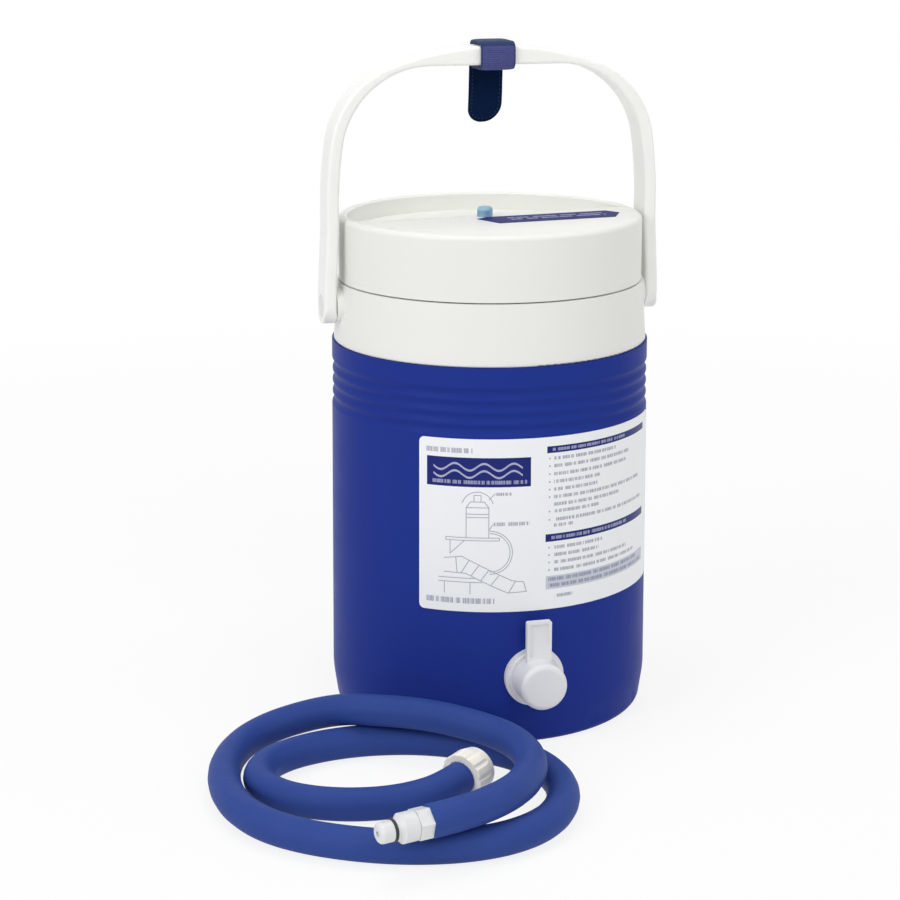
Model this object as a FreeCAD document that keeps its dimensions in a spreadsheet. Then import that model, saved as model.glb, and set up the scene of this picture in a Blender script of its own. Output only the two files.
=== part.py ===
import FreeCAD, Part
import Sketcher
import math
import os

os.makedirs("parts", exist_ok=True)
doc = FreeCAD.newDocument("cold_therapy_jug")
V = FreeCAD.Vector

# ---------------------------------------------------------------- sizes, mm
# Origin: centre of the jug's foot on the floor, +Z up, -Y the outlet side,
# X along the axis on which the handle swings.
SIZES = {
    # jug
    "body_radius": 97.6,        # outside of the blue shell at its top edge
    "body_flare": 1.6,          # wider than that just above the toe
    "shell_top": 233.5,         # border between blue shell and white collar
    "shell_wall": 3.0,
    "toe_height": 22.0,         # below this the side draws in towards the floor
    "toe_inset": 3.2,
    "toe_blend": 60.0,
    "toe_round": 6.0,
    "foot_width": 36.0,         # edge of the bottom to its dished middle
    "foot_dish": 2.0,
    "rib_drop": 36.9,           # border down to the lowest of the four grooves
    "rib_pitch": 7.2,
    "rib_round": 2.5,
    "rib_depth": 1.8,           # before the waves are rounded
    "insulation": 17.6,         # outside of the shell to outside of the liner
    "liner_wall": 2.2,
    "liner_floor": 22.0,
    "liner_round": 10.0,
    "neck_inset": 10.6,         # outside of the shell to outside of the neck
    "neck_rise": 19.5,          # above the collar's shoulder
    "neck_wall": 2.6,
    "lip_thick": 1.5,           # liner edge folded over the neck
    "lip_inset": 0.5,
    "collar_height": 37.0,
    "collar_step": 1.1,         # shell's top edge to the collar
    "collar_taper": 2.4,
    "collar_lip": 1.2,          # rounding of its lower edge
    "collar_wall": 2.6,
    "collar_tongue": 7.0,       # part of the collar inside the shell
    "collar_foam_room": 10.0,
    "foam_gap": 0.3,            # foam to the walls round it
    "seat_gap": 0.05,           # between pieces glued or pressed together
    "skin_gap": 0.12,           # shell's side to what lies on it
    "running_gap": 0.07,        # between pieces that turn or slide on each other
    # lid
    "lid_gap": 0.8,             # seam between collar and lid skirt
    "lid_height": 39.5,         # collar shoulder to the lid's rim
    "lid_inset": 1.0,           # collar's top edge to the skirt
    "lid_wall": 2.6,
    "lid_round": 3.0,
    "rim_width": 5.0,
    "rim_rise": 1.0,
    "deck_thick": 3.0,
    "weld_ring": 3.0,           # ring under the deck that holds the plug
    "gasket_thick": 2.0,
    "plug_flange": 2.0,
    "plug_gap": 1.3,            # plug to the liner
    "plug_depth": 30.0,
    "plug_wall": 2.2,
    "recess_edge": 1.0,         # straight side of the D-shaped recess
    "recess_depth": 10.0,
    "recess_wall": 2.4,
    "step_depth": 1.0,          # lower left part of the deck
    "mark_length": 10.0,        # two raised marks on it
    "mark_width": 3.0,
    "mark_height": 0.5,
    "lid_turn_angle": 5.0,
    "strip_thick": 0.3,
    "vent_x": -5.8,
    "vent_y": -6.5,
    "vent_knob_radius": 4.8,
    "vent_knob_height": 6.0,
    "vent_knob_lift": 0.3,
    "vent_stem_radius": 2.6,
    "vent_stem_length": 7.0,    # below the deck
    "vent_tube_radius": 4.0,
    "vent_tube_wall": 2.0,
    "vent_seat_wall": 1.0,
    "vent_seat_depth": 8.0,
    "vent_ring_section": 0.75,
    # carrying handle
    "pivot_drop": 13.0,         # collar shoulder down to the pivots
    "handle_depth": 22.0,       # front to back
    "handle_thick": 7.6,
    "handle_rise": 154.3,       # pivots to the top of the crown
    "grip_height": 11.5,        # top of the crown to the flat grip under it
    "grip_corner": 54.0,        # from the flat grip round into the upright
    "foot_gap": 1.0,            # shell's top edge to the inside of a foot, seen from the front
    "foot_draw": 2.0,           # foot to upright
    "handle_foot_rise": 8.0,    # above the pivot, where the foot bends out
    "handle_side_rise": 48.0,
    "handle_bend_rise": 58.0,   # above the pivot, where the side arc starts
    "side_arc": 274.0,
    "corner_arc": 56.0,
    "crown_shoulder": 50.0,     # upright's outside in to the crown's shoulder
    "crown_fall": 7.89465,      # crown's middle down to its shoulder
    "handle_edge": 2.0,
    "pin_radius": 4.0,
    "pin_head_width": 3.0,
    "pin_head_thick": 1.2,
    "boss_radius": 11.0,
    "boss_gap": 0.3,            # boss face to handle foot
    "boss_foot": 3.0,           # liner to the inner end of a boss
    # hanging strap on the handle
    "strap_thick": 3.0,
    "strap_gap": 0.15,
    "strap_left": -9.7,
    "strap_right": 12.0,
    "strap_edge": 4.5,
    "tongue_right": 11.3,
    "tongue_drop": 46.5,        # crown down to the tip
    "tongue_thick": 1.8,
    # label
    "label_thick": 0.3,
    "label_low": 85.7,
    "label_drop": 42.1,         # border down to the label
    "label_from": -40.8,        # degrees round the jug from the front
    "label_to": 64.0,
    "label_corner": 3.2,
    # outlet
    "outlet_height": 44.4,
    "flange_radius": 18.2,
    "flange_thick": 1.6,        # these stand out from the shell's side
    "step_inset": 2.2,
    "step_thick": 1.6,
    "stub_radius": 10.2,
    "stub_length": 14.8,
    "stub_edge": 0.6,
    "outlet_bore": 5.5,
    "shank_radius": 9.0,
    "shank_reach": 9.5,         # past the liner's inner boss
    "shank_play": 0.2,
    "liner_boss_radius": 17.0,
    "liner_boss_thick": 2.3,
    "washer_radius": 15.0,
    "washer_thick": 2.0,
    "lock_nut_radius": 15.0,    # over the corners
    "lock_nut_thick": 6.0,
    "cap_wall": 4.03,
    "cap_gap": 0.4,             # cap to the step behind it
    "cap_seal_thick": 1.0,
    "cap_face": 4.0,
    "cap_edge": 3.2,
    "lever_width": 15.2,
    "lever_reach": 37.5,        # above the outlet axis
    "lever_set": 3.5,           # cap's back edge to the lever
    "lever_thick": 3.6,
    "lever_edge": 1.2,
    "lever_rim": 1.8,
    "lever_dish": 1.2,
    # hose and its end fittings
    "hose_radius": 9.5,
    "stem_collar": 3.0,
    "stem_radius": 6.3,
    "stem_bore": 4.5,
    "stem_flange_radius": 8.6,
    "stem_flange_thick": 2.0,
    "nut_start": 0.4,
    "nut_radius": 13.6,
    "nut_mouth_radius": 12.0,
    "nut_straight": 9.0,
    "nut_length": 16.0,
    "nut_web_start": 3.4,
    "nut_web_end": 6.4,
    "nut_web_gap": 0.2,
    "nut_pocket_radius": 9.8,   # room for the stem's flange and the washer
    "nut_thread_gap": 0.2,      # round the outlet's spout
    "nut_washer_thick": 1.6,
    "nut_washer_radius": 9.5,
    "nut_flute_radius": 2.4,
    "nut_flute_depth": 0.8,
    "ferrule_radius": 9.3,      # over the corners
    "ferrule_length": 8.0,
    "plug_body_radius": 8.3,
    "plug_body_length": 8.5,
    "plug_cone_length": 2.3,
    "plug_nose_radius": 5.85,
    "plug_nose_length": 11.2,
    "plug_nose_round": 2.5,
    "plug_groove_start": 1.2,   # past the cone
    "plug_groove_width": 2.0,
    "plug_groove_depth": 1.15,
    "plug_ring_section": 0.95,
    "plug_bore": 1.5,
}


class Size:
    """A length with the spreadsheet formula it comes from, so that both can be added up together."""

    def __init__(self, value, formula):
        self.value = value
        self.formula = formula

    def _join(self, other, sign, swap=False):
        other = other if isinstance(other, Size) else Size(other, repr(other))
        left, right = (other, self) if swap else (self, other)
        results = {
            "+": lambda: left.value + right.value,
            "-": lambda: left.value - right.value,
            "*": lambda: left.value * right.value,
            "/": lambda: left.value / right.value,
        }
        return Size(results[sign](), f"({left.formula} {sign} {right.formula})")

    def __add__(self, other):
        return self._join(other, "+")

    def __radd__(self, other):
        return self._join(other, "+", swap=True)

    def __sub__(self, other):
        return self._join(other, "-")

    def __rsub__(self, other):
        return self._join(other, "-", swap=True)

    def __mul__(self, other):
        return self._join(other, "*")

    def __rmul__(self, other):
        return self._join(other, "*", swap=True)

    def __truediv__(self, other):
        return self._join(other, "/")

    def __neg__(self):
        return Size(-self.value, f"(0 - {self.formula})")


class Sizes:
    """The spreadsheet's values by name."""


sheet = doc.addObject("Spreadsheet::Sheet", "Sizes")
S = Sizes()
for row, (word, number) in enumerate(SIZES.items(), start=1):
    sheet.set(f"A{row}", word)
    sheet.set(f"B{row}", str(number))
    sheet.setAlias(f"B{row}", word)
    setattr(S, word, Size(number, f"Sizes.{word}"))
doc.recompute()


def side(height):
    """Outside radius of the shell at a height above the toe."""
    return S.body_radius + S.body_flare * (S.shell_top - height) / (S.shell_top - S.toe_height)


# sizes that follow from the ones above
S.base_radius = S.body_radius + S.body_flare
S.toe_radius = S.base_radius - S.toe_inset
S.shell_inside = S.body_radius - S.shell_wall
S.base_inside = S.base_radius - S.shell_wall
S.toe_inside = S.toe_radius - S.shell_wall
S.liner_radius = S.body_radius - S.insulation
S.liner_inside = S.liner_radius - S.liner_wall
S.collar_top = S.shell_top + S.collar_height
S.collar_radius = S.body_radius - S.collar_step
S.collar_top_radius = S.collar_radius - S.collar_taper
S.neck_radius = S.body_radius - S.neck_inset
S.neck_top = S.collar_top + S.neck_rise
S.lip_radius = S.neck_radius - S.lip_inset
S.lip_top = S.neck_top + S.lip_thick
S.flange_low = S.lip_top + S.gasket_thick
S.flange_high = S.flange_low + S.plug_flange
S.plug_radius = S.liner_inside - S.plug_gap
S.plug_bottom = S.flange_high - S.plug_depth
S.lid_radius = S.collar_top_radius - S.lid_inset
S.lid_top = S.collar_top + S.lid_height
S.deck_radius = S.lid_radius - S.rim_width
S.deck_height = S.lid_top - S.rim_rise
S.deck_under = S.deck_height - S.deck_thick
S.recess_floor = S.deck_height - S.recess_depth
S.recess_under = S.recess_floor - S.recess_wall
S.step_floor = S.deck_height - S.step_depth
S.vent_stem_end = S.deck_under - S.vent_stem_length
S.vent_bore = S.vent_tube_radius - S.vent_tube_wall
S.vent_seat_radius = S.vent_tube_radius + 0.6 - S.vent_seat_wall
S.pivot_height = S.collar_top - S.pivot_drop
S.handle_top = S.pivot_height + S.handle_rise
S.foot_outside = S.body_radius + S.foot_gap + S.handle_thick
S.side_outside = S.foot_outside - S.foot_draw
S.crown_reach = S.side_outside - S.crown_shoulder
S.top_arc = (S.crown_reach * S.crown_reach / S.crown_fall + S.crown_fall) / 2
S.boss_face = S.foot_outside - S.handle_thick - S.boss_gap
S.boss_inner = S.liner_radius + S.boss_foot
S.outlet_side = side(S.outlet_height)
S.flange_front = S.outlet_side + S.flange_thick
S.step_front = S.flange_front + S.step_thick
S.stub_front = S.step_front + S.stub_length
S.cap_back = S.step_front + S.cap_gap
S.cap_inside = S.stub_radius + S.running_gap
S.cap_radius = S.cap_inside + S.cap_wall
S.cap_seat = S.stub_front + S.cap_seal_thick
S.cap_front = S.cap_seat + S.cap_face
S.lever_back = S.cap_back + S.lever_set
S.liner_boss_face = S.liner_inside - S.liner_boss_thick
S.washer_face = S.liner_boss_face - S.washer_thick
S.shank_end = S.liner_boss_face - S.shank_reach
S.shank_hole = S.shank_radius + S.shank_play
S.nut_flange = S.nut_web_end + S.nut_web_gap
S.nut_seat = S.nut_flange + S.stem_flange_thick
S.nut_washer_top = S.nut_seat + S.nut_washer_thick
S.nut_thread_start = S.nut_washer_top + S.nut_web_gap
S.nut_thread_radius = S.stub_radius + S.nut_thread_gap
S.nut_bore = S.stem_radius + S.running_gap
S.cone_start = S.ferrule_length + S.plug_body_length
S.nose_start = S.cone_start + S.plug_cone_length
S.nose_end = S.nose_start + S.plug_nose_length
S.groove_start = S.nose_start + S.plug_groove_start
S.groove_end = S.groove_start + S.plug_groove_width
S.groove_radius = S.plug_nose_radius - S.plug_groove_depth

NODES = []


def value(size):
    return size.value if isinstance(size, Size) else size


def bind(owner, path, size):
    """Ties one property or sketch dimension to the spreadsheet."""
    if isinstance(size, Size):
        owner.setExpression(path, size.formula)


# ------------------------------------------------------------ sketch helpers
def new_body(name):
    body = doc.addObject("PartDesign::Body", name)
    body.Label = name
    NODES.append(body)
    return body


def new_sketch(body, name, role, offset=None):
    """A sketch on one of the body's own planes, moved along the plane's normal by offset."""
    plane = next(o for o in body.Origin.OriginFeatures if o.Role == role)
    sketch = body.newObject("Sketcher::SketchObject", f"{body.Name}_{name}")
    sketch.AttachmentSupport = [(plane, "")]
    sketch.MapMode = "FlatFace"
    if offset is not None:
        sketch.AttachmentOffset = FreeCAD.Placement(V(0, 0, value(offset)), FreeCAD.Rotation())
        bind(sketch, "AttachmentOffset.Base.z", offset)
    return sketch


def fix_point(sketch, geometry, end, x, y):
    """Holds one sketch point at x, y from the origin."""
    for kind, size in (("DistanceX", x), ("DistanceY", y)):
        if value(size) == 0:
            axis = -2 if kind == "DistanceX" else -1
            sketch.addConstraint(Sketcher.Constraint("PointOnObject", geometry, end, axis))
            continue
        number = sketch.addConstraint(Sketcher.Constraint(kind, -1, 1, geometry, end, value(size)))
        bind(sketch, f"Constraints[{number}]", size)


def circle(sketch, x, y, radius):
    number = sketch.addGeometry(Part.Circle(V(value(x), value(y), 0), V(0, 0, 1), value(radius)), False)
    fix_point(sketch, number, 3, x, y)
    dimension = sketch.addConstraint(Sketcher.Constraint("Radius", number, value(radius)))
    bind(sketch, f"Constraints[{dimension}]", radius)


def outline(sketch, corners):
    """A closed line through corners (x, y) or (x, y, rounding)."""
    points = [V(value(c[0]), value(c[1]), 0) for c in corners]
    rounds = [c[2] if len(c) > 2 else None for c in corners]
    count = len(points)
    cuts = []
    for i, point in enumerate(points):
        before = (points[i - 1] - point).normalize()
        after = (points[(i + 1) % count] - point).normalize()
        if rounds[i] is None:
            cuts.append((point, point, None))
            continue
        half = before.getAngle(after) / 2
        reach = value(rounds[i]) / math.tan(half)
        centre = point + (before + after).normalize() * (value(rounds[i]) / math.sin(half))
        cuts.append((point + before * reach, point + after * reach, centre))
    lines = []
    for i in range(count):
        start, end = cuts[i][1], cuts[(i + 1) % count][0]
        lines.append(sketch.addGeometry(Part.LineSegment(start, end), False))
    for i in range(count):
        incoming, outgoing = lines[i - 1], lines[i]
        x, y = corners[i][0], corners[i][1]
        if rounds[i] is None:
            sketch.addConstraint(Sketcher.Constraint("Coincident", incoming, 2, outgoing, 1))
            fix_point(sketch, outgoing, 1, x, y)
            continue
        start, end, centre = cuts[i]
        middle = centre + (points[i] - centre).normalize() * value(rounds[i])
        leftward = (start - centre).cross(end - centre).z > 0
        first, last = (1, 2) if leftward else (2, 1)
        turn = Part.Arc(start, middle, end) if leftward else Part.Arc(end, middle, start)
        arc = sketch.addGeometry(turn, False)
        sketch.addConstraint(Sketcher.Constraint("Tangent", incoming, 2, arc, first))
        sketch.addConstraint(Sketcher.Constraint("Tangent", outgoing, 1, arc, last))
        dimension = sketch.addConstraint(Sketcher.Constraint("Radius", arc, value(rounds[i])))
        bind(sketch, f"Constraints[{dimension}]", rounds[i])
        corner = sketch.addGeometry(Part.Point(points[i]), True)
        fix_point(sketch, corner, 1, x, y)
        sketch.addConstraint(Sketcher.Constraint("PointOnObject", corner, 1, incoming))
        sketch.addConstraint(Sketcher.Constraint("PointOnObject", corner, 1, outgoing))


# ----------------------------------------------------------- feature helpers
def revolve(body, sketch, axis="V_Axis", angle=None, kind="Revolution"):
    feature = body.newObject(f"PartDesign::{kind}", f"{sketch.Name}_{kind.lower()}")
    feature.Profile = sketch
    feature.ReferenceAxis = (sketch, [axis])
    feature.Angle = 360.0 if angle is None else value(angle)
    if angle is not None:
        bind(feature, "Angle", angle)
    body.Tip = feature
    doc.recompute()
    return feature


def extrude(body, sketch, length, kind="Pad", reverse=False, both=False):
    """A pad or pocket; both=True splits the length evenly on the two sides of the sketch."""
    feature = body.newObject(f"PartDesign::{kind}", f"{sketch.Name}_{kind.lower()}")
    feature.Profile = sketch
    feature.Length = value(length)
    bind(feature, "Length", length)
    feature.Reversed = reverse
    feature.SideType = "Symmetric" if both else "One side"
    body.Tip = feature
    doc.recompute()
    return feature


def turned(name, corners):
    """A body of revolution about Z, corners given as (radius, height)."""
    body = new_body(name)
    sketch = new_sketch(body, "profile", "XZ_Plane")
    outline(sketch, corners)
    revolve(body, sketch)
    return body


def turned_about_y(name, corners, height):
    """A body of revolution about a line along Y at the given height, corners given as (y, radius)."""
    body = new_body(name)
    bind(body, "Placement.Base.z", height)
    sketch = new_sketch(body, "profile", "YZ_Plane")
    outline(sketch, corners)
    revolve(body, sketch, axis="H_Axis")
    return body


def bored(body, name, radius, height, depth):
    """A round hole from the jug's axis out through its front wall."""
    sketch = new_sketch(body, name, "XZ_Plane")
    circle(sketch, 0, height, radius)
    before = body.Shape.Volume
    extrude(body, sketch, depth, "Pocket", reverse=True)
    assert body.Shape.Volume < before - 1, f"{body.Label}: the hole misses the front wall"


# ----------------------------------------------------------------------- jug
def outer_shell():
    """Blow-moulded skin with a dished bottom and four grooves below the collar."""
    foot = S.toe_radius - S.foot_width
    floor = S.foot_dish + S.shell_wall
    body = turned("outer_shell", [
        (0, S.foot_dish), (foot - S.foot_dish, S.foot_dish), (foot, 0),
        (S.toe_radius, 0, S.toe_round), (S.base_radius, S.toe_height, S.toe_blend), *grooves(4),
        (S.body_radius, S.shell_top), (S.shell_inside, S.shell_top), (S.base_inside, S.toe_height),
        (S.toe_inside, floor, S.toe_round - S.foot_dish), (0, floor),
    ])
    bored(body, "outlet_hole", S.shank_hole, S.outlet_height, S.body_radius + S.outlet_bore)


def grooves(count):
    """Corners of a row of waves in the shell's side, from the lowest crest to the highest."""
    corners = []
    for step in range(2 * count + 1):
        height = S.shell_top - S.rib_drop + S.rib_pitch * ((step - 1) / 2)
        depth = S.rib_depth * (step % 2)
        corners.append((side(height) - depth, height, S.rib_round))
    return corners


def inner_liner():
    """Inner tub; its edge folds over the neck and a boss takes the outlet's washer."""
    floor = S.liner_floor + S.liner_wall
    body = turned("inner_liner", [
        (0, S.liner_floor), (S.liner_radius, S.liner_floor, S.liner_round), (S.liner_radius, S.neck_top),
        (S.lip_radius, S.neck_top), (S.lip_radius, S.lip_top), (S.liner_inside, S.lip_top),
        (S.liner_inside, floor, S.liner_round - S.liner_wall), (0, floor),
    ])
    boss = new_sketch(body, "boss", "XZ_Plane", S.liner_boss_face)
    circle(boss, 0, S.outlet_height, S.liner_boss_radius)
    extrude(body, boss, S.liner_boss_thick + S.liner_wall / 5)
    bored(body, "outlet_hole", S.shank_hole, S.outlet_height, S.body_radius)


def foam_insulation():
    """Foam that fills the space between shell, collar and liner."""
    outside = S.shell_inside - S.foam_gap
    top_outside = outside - S.collar_wall
    base_outside = S.base_inside - S.foam_gap
    toe_outside = S.toe_inside - S.foam_gap
    inside = S.liner_radius + S.foam_gap
    low = S.foot_dish + S.shell_wall + S.foam_gap
    under_liner = S.liner_floor - S.foam_gap
    below_collar = S.shell_top - S.collar_tongue - S.foam_gap
    top = S.collar_top - S.collar_foam_room
    body = turned("foam_insulation", [
        (0, low), (toe_outside, low, S.toe_round - S.foot_dish), (base_outside, S.toe_height),
        (outside, below_collar),
        (top_outside, below_collar), (top_outside, top), (inside, top),
        (inside, under_liner, S.liner_round), (0, under_liner),
    ])
    bored(body, "outlet_hole", S.shank_radius + S.foam_gap, S.outlet_height, S.body_radius)
    rooms = new_sketch(body, "pivot_room", "YZ_Plane")
    circle(rooms, 0, S.pivot_height, S.boss_radius + S.foam_gap)
    extrude(body, rooms, S.body_radius * 2 + S.boss_radius, "Pocket", both=True)


def collar():
    """White ring with the neck on top, a tongue inside the shell and a boss for each handle pin."""
    inside = S.shell_inside - S.collar_wall
    shoulder = S.collar_top - S.collar_wall
    neck_in = S.neck_radius - S.neck_wall
    lip_in = S.liner_radius + 4 * S.seat_gap
    tongue = S.shell_top - S.collar_tongue
    body = turned("collar", [
        (S.collar_radius, S.shell_top, S.collar_lip), (S.collar_top_radius, S.collar_top),
        (S.neck_radius, S.collar_top),
        (S.neck_radius, S.neck_top), (lip_in, S.neck_top), (lip_in, S.neck_top - S.neck_wall),
        (neck_in, S.neck_top - S.neck_wall), (neck_in, shoulder), (inside, shoulder),
        (inside, tongue), (S.shell_inside, tongue), (S.shell_inside, S.shell_top),
    ])
    for side, face, inward in (("right", S.boss_face, True), ("left", -S.boss_face, False)):
        boss = new_sketch(body, f"boss_{side}", "YZ_Plane", face)
        circle(boss, 0, S.pivot_height, S.boss_radius)
        extrude(body, boss, S.boss_face - S.boss_inner, reverse=inward)
    bore = new_sketch(body, "pin_bore", "YZ_Plane")
    circle(bore, 0, S.pivot_height, S.pin_radius + S.seat_gap)
    extrude(body, bore, S.foot_outside * 2, "Pocket", both=True)


def pivot_pin(name, side):
    """Headed pin along X; it is pressed into the collar and the handle's foot turns on it."""
    head = S.pin_radius + S.pin_head_width
    head_back = S.foot_outside - S.pin_head_thick
    body = new_body(name)
    bind(body, "Placement.Base.z", S.pivot_height)
    sketch = new_sketch(body, "profile", "XZ_Plane")
    outline(sketch, [(side * x, y) for x, y in [
        (S.boss_inner, 0), (S.boss_inner, S.pin_radius), (head_back, S.pin_radius),
        (head_back, head), (S.foot_outside, head), (S.foot_outside, 0)]])
    revolve(body, sketch, axis="H_Axis")


def instruction_label():
    """Printed skin round the front of the shell, with rounded corners."""
    body = new_body("instruction_label")
    sketch = new_sketch(body, "profile", "XZ_Plane")
    high = S.shell_top - S.label_drop
    low_side, high_side = side(S.label_low) + S.skin_gap, side(high) + S.skin_gap
    outline(sketch, [(low_side, S.label_low), (low_side + S.label_thick, S.label_low),
                     (high_side + S.label_thick, high), (high_side, high)])
    skin = revolve(body, sketch, angle=S.label_to - S.label_from)
    corners = [f"Edge{i + 1}" for i, edge in enumerate(body.Shape.Edges)
               if edge.Length < 2 * S.label_thick.value and is_level(edge)]
    fillet = body.newObject("PartDesign::Fillet", "instruction_label_corners")
    fillet.Base = (skin, corners)
    fillet.Radius = value(S.label_corner)
    bind(fillet, "Radius", S.label_corner)
    body.Tip = fillet
    doc.recompute()
    body.Placement = FreeCAD.Placement(V(0, 0, 0), FreeCAD.Rotation(V(0, 0, 1), S.label_from.value - 90))


def is_level(edge):
    first, last = (v.Point for v in edge.Vertexes)
    return abs(first.z - last.z) < 1e-6


# -------------------------------------------------------------------- outlet
def outlet_fitting():
    """Flanged spout through the double wall; the flange is hollowed to sit on the round shell."""
    flange_root = S.outlet_side - S.flange_radius / 2
    body = turned_about_y("outlet_fitting", [
        (-S.flange_front, S.outlet_bore), (-S.flange_front, S.flange_radius),
        (-flange_root, S.flange_radius), (-flange_root, S.outlet_bore),
    ], S.outlet_height)
    saddle = new_sketch(body, "saddle", "XZ_Plane")
    reach = S.flange_radius * 1.3
    low_seat, high_seat = (side(S.outlet_height + rise) + S.skin_gap for rise in (-reach, reach))
    outline(saddle, [(S.shank_radius, -reach), (low_seat, -reach), (high_seat, reach),
                     (S.shank_radius, reach)])
    revolve(body, saddle, kind="Groove")
    spout = new_sketch(body, "spout", "YZ_Plane")
    step = S.flange_radius - S.step_inset
    step_root = S.flange_front - S.flange_thick / 3
    outline(spout, [
        (-S.shank_end, S.outlet_bore), (-S.shank_end, S.shank_radius),
        (-step_root, S.shank_radius), (-step_root, step), (-S.step_front, step),
        (-S.step_front, S.stub_radius), (-S.stub_front, S.stub_radius, S.stub_edge),
        (-S.stub_front, S.outlet_bore),
    ])
    revolve(body, spout, axis="H_Axis")


def outlet_washer():
    turned_about_y("outlet_washer", [
        (-S.liner_boss_face, S.shank_hole), (-S.liner_boss_face, S.washer_radius),
        (-S.washer_face, S.washer_radius), (-S.washer_face, S.shank_hole),
    ], S.outlet_height)


def outlet_lock_nut():
    body = new_body("outlet_lock_nut")
    bind(body, "Placement.Base.z", S.outlet_height)
    sketch = new_sketch(body, "hexagon", "XZ_Plane", S.washer_face)
    hexagon(sketch, S.lock_nut_radius)
    circle(sketch, 0, 0, S.shank_radius + 2 * S.seat_gap)
    extrude(body, sketch, S.lock_nut_thick, reverse=True)


def hexagon(sketch, radius):
    """Six sides with their corners on a circle round the sketch origin."""
    half, flat = radius / 2, radius * 0.8660254
    outline(sketch, [(radius, 0), (half, flat), (-half, flat), (-radius, 0), (-half, -flat), (half, -flat)])


def outlet_cap():
    """Closure over the spout with a dished lever tab, turned a quarter and pulled off."""
    body = turned_about_y("outlet_cap", [
        (-S.cap_back, S.cap_inside), (-S.cap_back, S.cap_radius), (-S.cap_front, S.cap_radius, S.cap_edge),
        (-S.cap_front, 0), (-S.cap_seat, 0), (-S.cap_seat, S.cap_inside),
    ], S.outlet_height)
    lever = new_sketch(body, "lever", "XZ_Plane", S.lever_back)
    half = S.lever_width / 2
    root = S.cap_inside + S.cap_wall / 2
    outline(lever, [(-half, root), (half, root), (half, S.lever_reach, S.lever_edge),
                    (-half, S.lever_reach, S.lever_edge)])
    extrude(body, lever, S.lever_thick)
    dish = new_sketch(body, "dish", "XZ_Plane", S.lever_back + S.lever_thick)
    narrow = half - S.lever_rim
    low = S.cap_radius + S.lever_dish
    high = S.lever_reach - S.lever_rim
    outline(dish, [(-narrow, low), (narrow, low), (narrow, high), (-narrow, high)])
    before = body.Shape.Volume
    extrude(body, dish, S.lever_dish, "Pocket")
    assert body.Shape.Volume < before - 1, "outlet_cap: the lever's dish is not cut"


def outlet_cap_seal():
    outer = S.stub_radius - S.seat_gap
    turned_about_y("outlet_cap_seal", [
        (-S.stub_front, S.outlet_bore), (-S.stub_front, outer),
        (-S.cap_seat, outer), (-S.cap_seat, S.outlet_bore),
    ], S.outlet_height)


# ----------------------------------------------------------------------- lid
def turn_with_lid(body):
    """The lid is screwed on to a little past square."""
    body.Placement = FreeCAD.Placement(V(0, 0, 0), FreeCAD.Rotation(V(0, 0, 1), S.lid_turn_angle.value))
    bind(body, "Placement.Rotation.Angle", S.lid_turn_angle)


def d_shape(sketch, radius, edge):
    """Part of a disc behind a straight edge along X."""
    half = math.sqrt(value(radius) ** 2 - value(edge) ** 2)
    low = V(half, value(edge), 0)
    high = V(-half, value(edge), 0)
    arc = sketch.addGeometry(Part.Arc(low, V(0, value(radius), 0), high), False)
    line = sketch.addGeometry(Part.LineSegment(high, low), False)
    sketch.addConstraint(Sketcher.Constraint("Coincident", arc, 3, -1, 1))
    sketch.addConstraint(Sketcher.Constraint("Coincident", arc, 2, line, 1))
    sketch.addConstraint(Sketcher.Constraint("Coincident", arc, 1, line, 2))
    sketch.addConstraint(Sketcher.Constraint("Horizontal", line))
    dimension = sketch.addConstraint(Sketcher.Constraint("Radius", arc, value(radius)))
    bind(sketch, f"Constraints[{dimension}]", radius)
    dimension = sketch.addConstraint(Sketcher.Constraint("DistanceY", -1, 1, line, 1, value(edge)))
    bind(sketch, f"Constraints[{dimension}]", edge)


def lid_shell():
    """Screwed cover: skirt, rounded rim, deck and the D-shaped recess behind it."""
    skirt_low = S.collar_top + S.lid_gap
    skirt_in = S.lid_radius - S.lid_wall
    ring_in = S.neck_radius - S.weld_ring
    body = turned("lid_shell", [
        (S.lid_radius, skirt_low), (S.lid_radius, S.lid_top, S.lid_round),
        (S.deck_radius + S.rim_rise * 1.5, S.lid_top), (S.deck_radius + S.rim_rise / 3, S.deck_height),
        (0, S.deck_height), (0, S.deck_under), (ring_in, S.deck_under), (ring_in, S.flange_high),
        (S.neck_radius, S.flange_high), (S.neck_radius, S.deck_under), (skirt_in, S.deck_under),
        (skirt_in, skirt_low),
    ])
    block = new_sketch(body, "recess_block", "XY_Plane", S.recess_under)
    d_shape(block, S.deck_radius + S.rim_rise, S.recess_edge - S.recess_wall)
    extrude(body, block, S.deck_under + 1 - S.recess_under)
    recess = new_sketch(body, "recess", "XY_Plane", S.recess_floor)
    d_shape(recess, S.deck_radius - S.rim_rise / 2, S.recess_edge)
    cut_above(body, recess, S.recess_depth * 2)
    deck_step(body)
    vent = new_sketch(body, "vent_hole", "XY_Plane", S.deck_under - 1)
    circle(vent, S.vent_x, S.vent_y, S.vent_stem_radius + S.running_gap)
    cut_above(body, vent, S.deck_thick * 2)
    turn_with_lid(body)


def cut_above(body, sketch, depth):
    """A pocket that runs up from its sketch."""
    before = body.Shape.Volume
    extrude(body, sketch, depth, "Pocket", reverse=True)
    assert body.Shape.Volume < before - 1, f"{sketch.Name}: nothing is cut"


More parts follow.
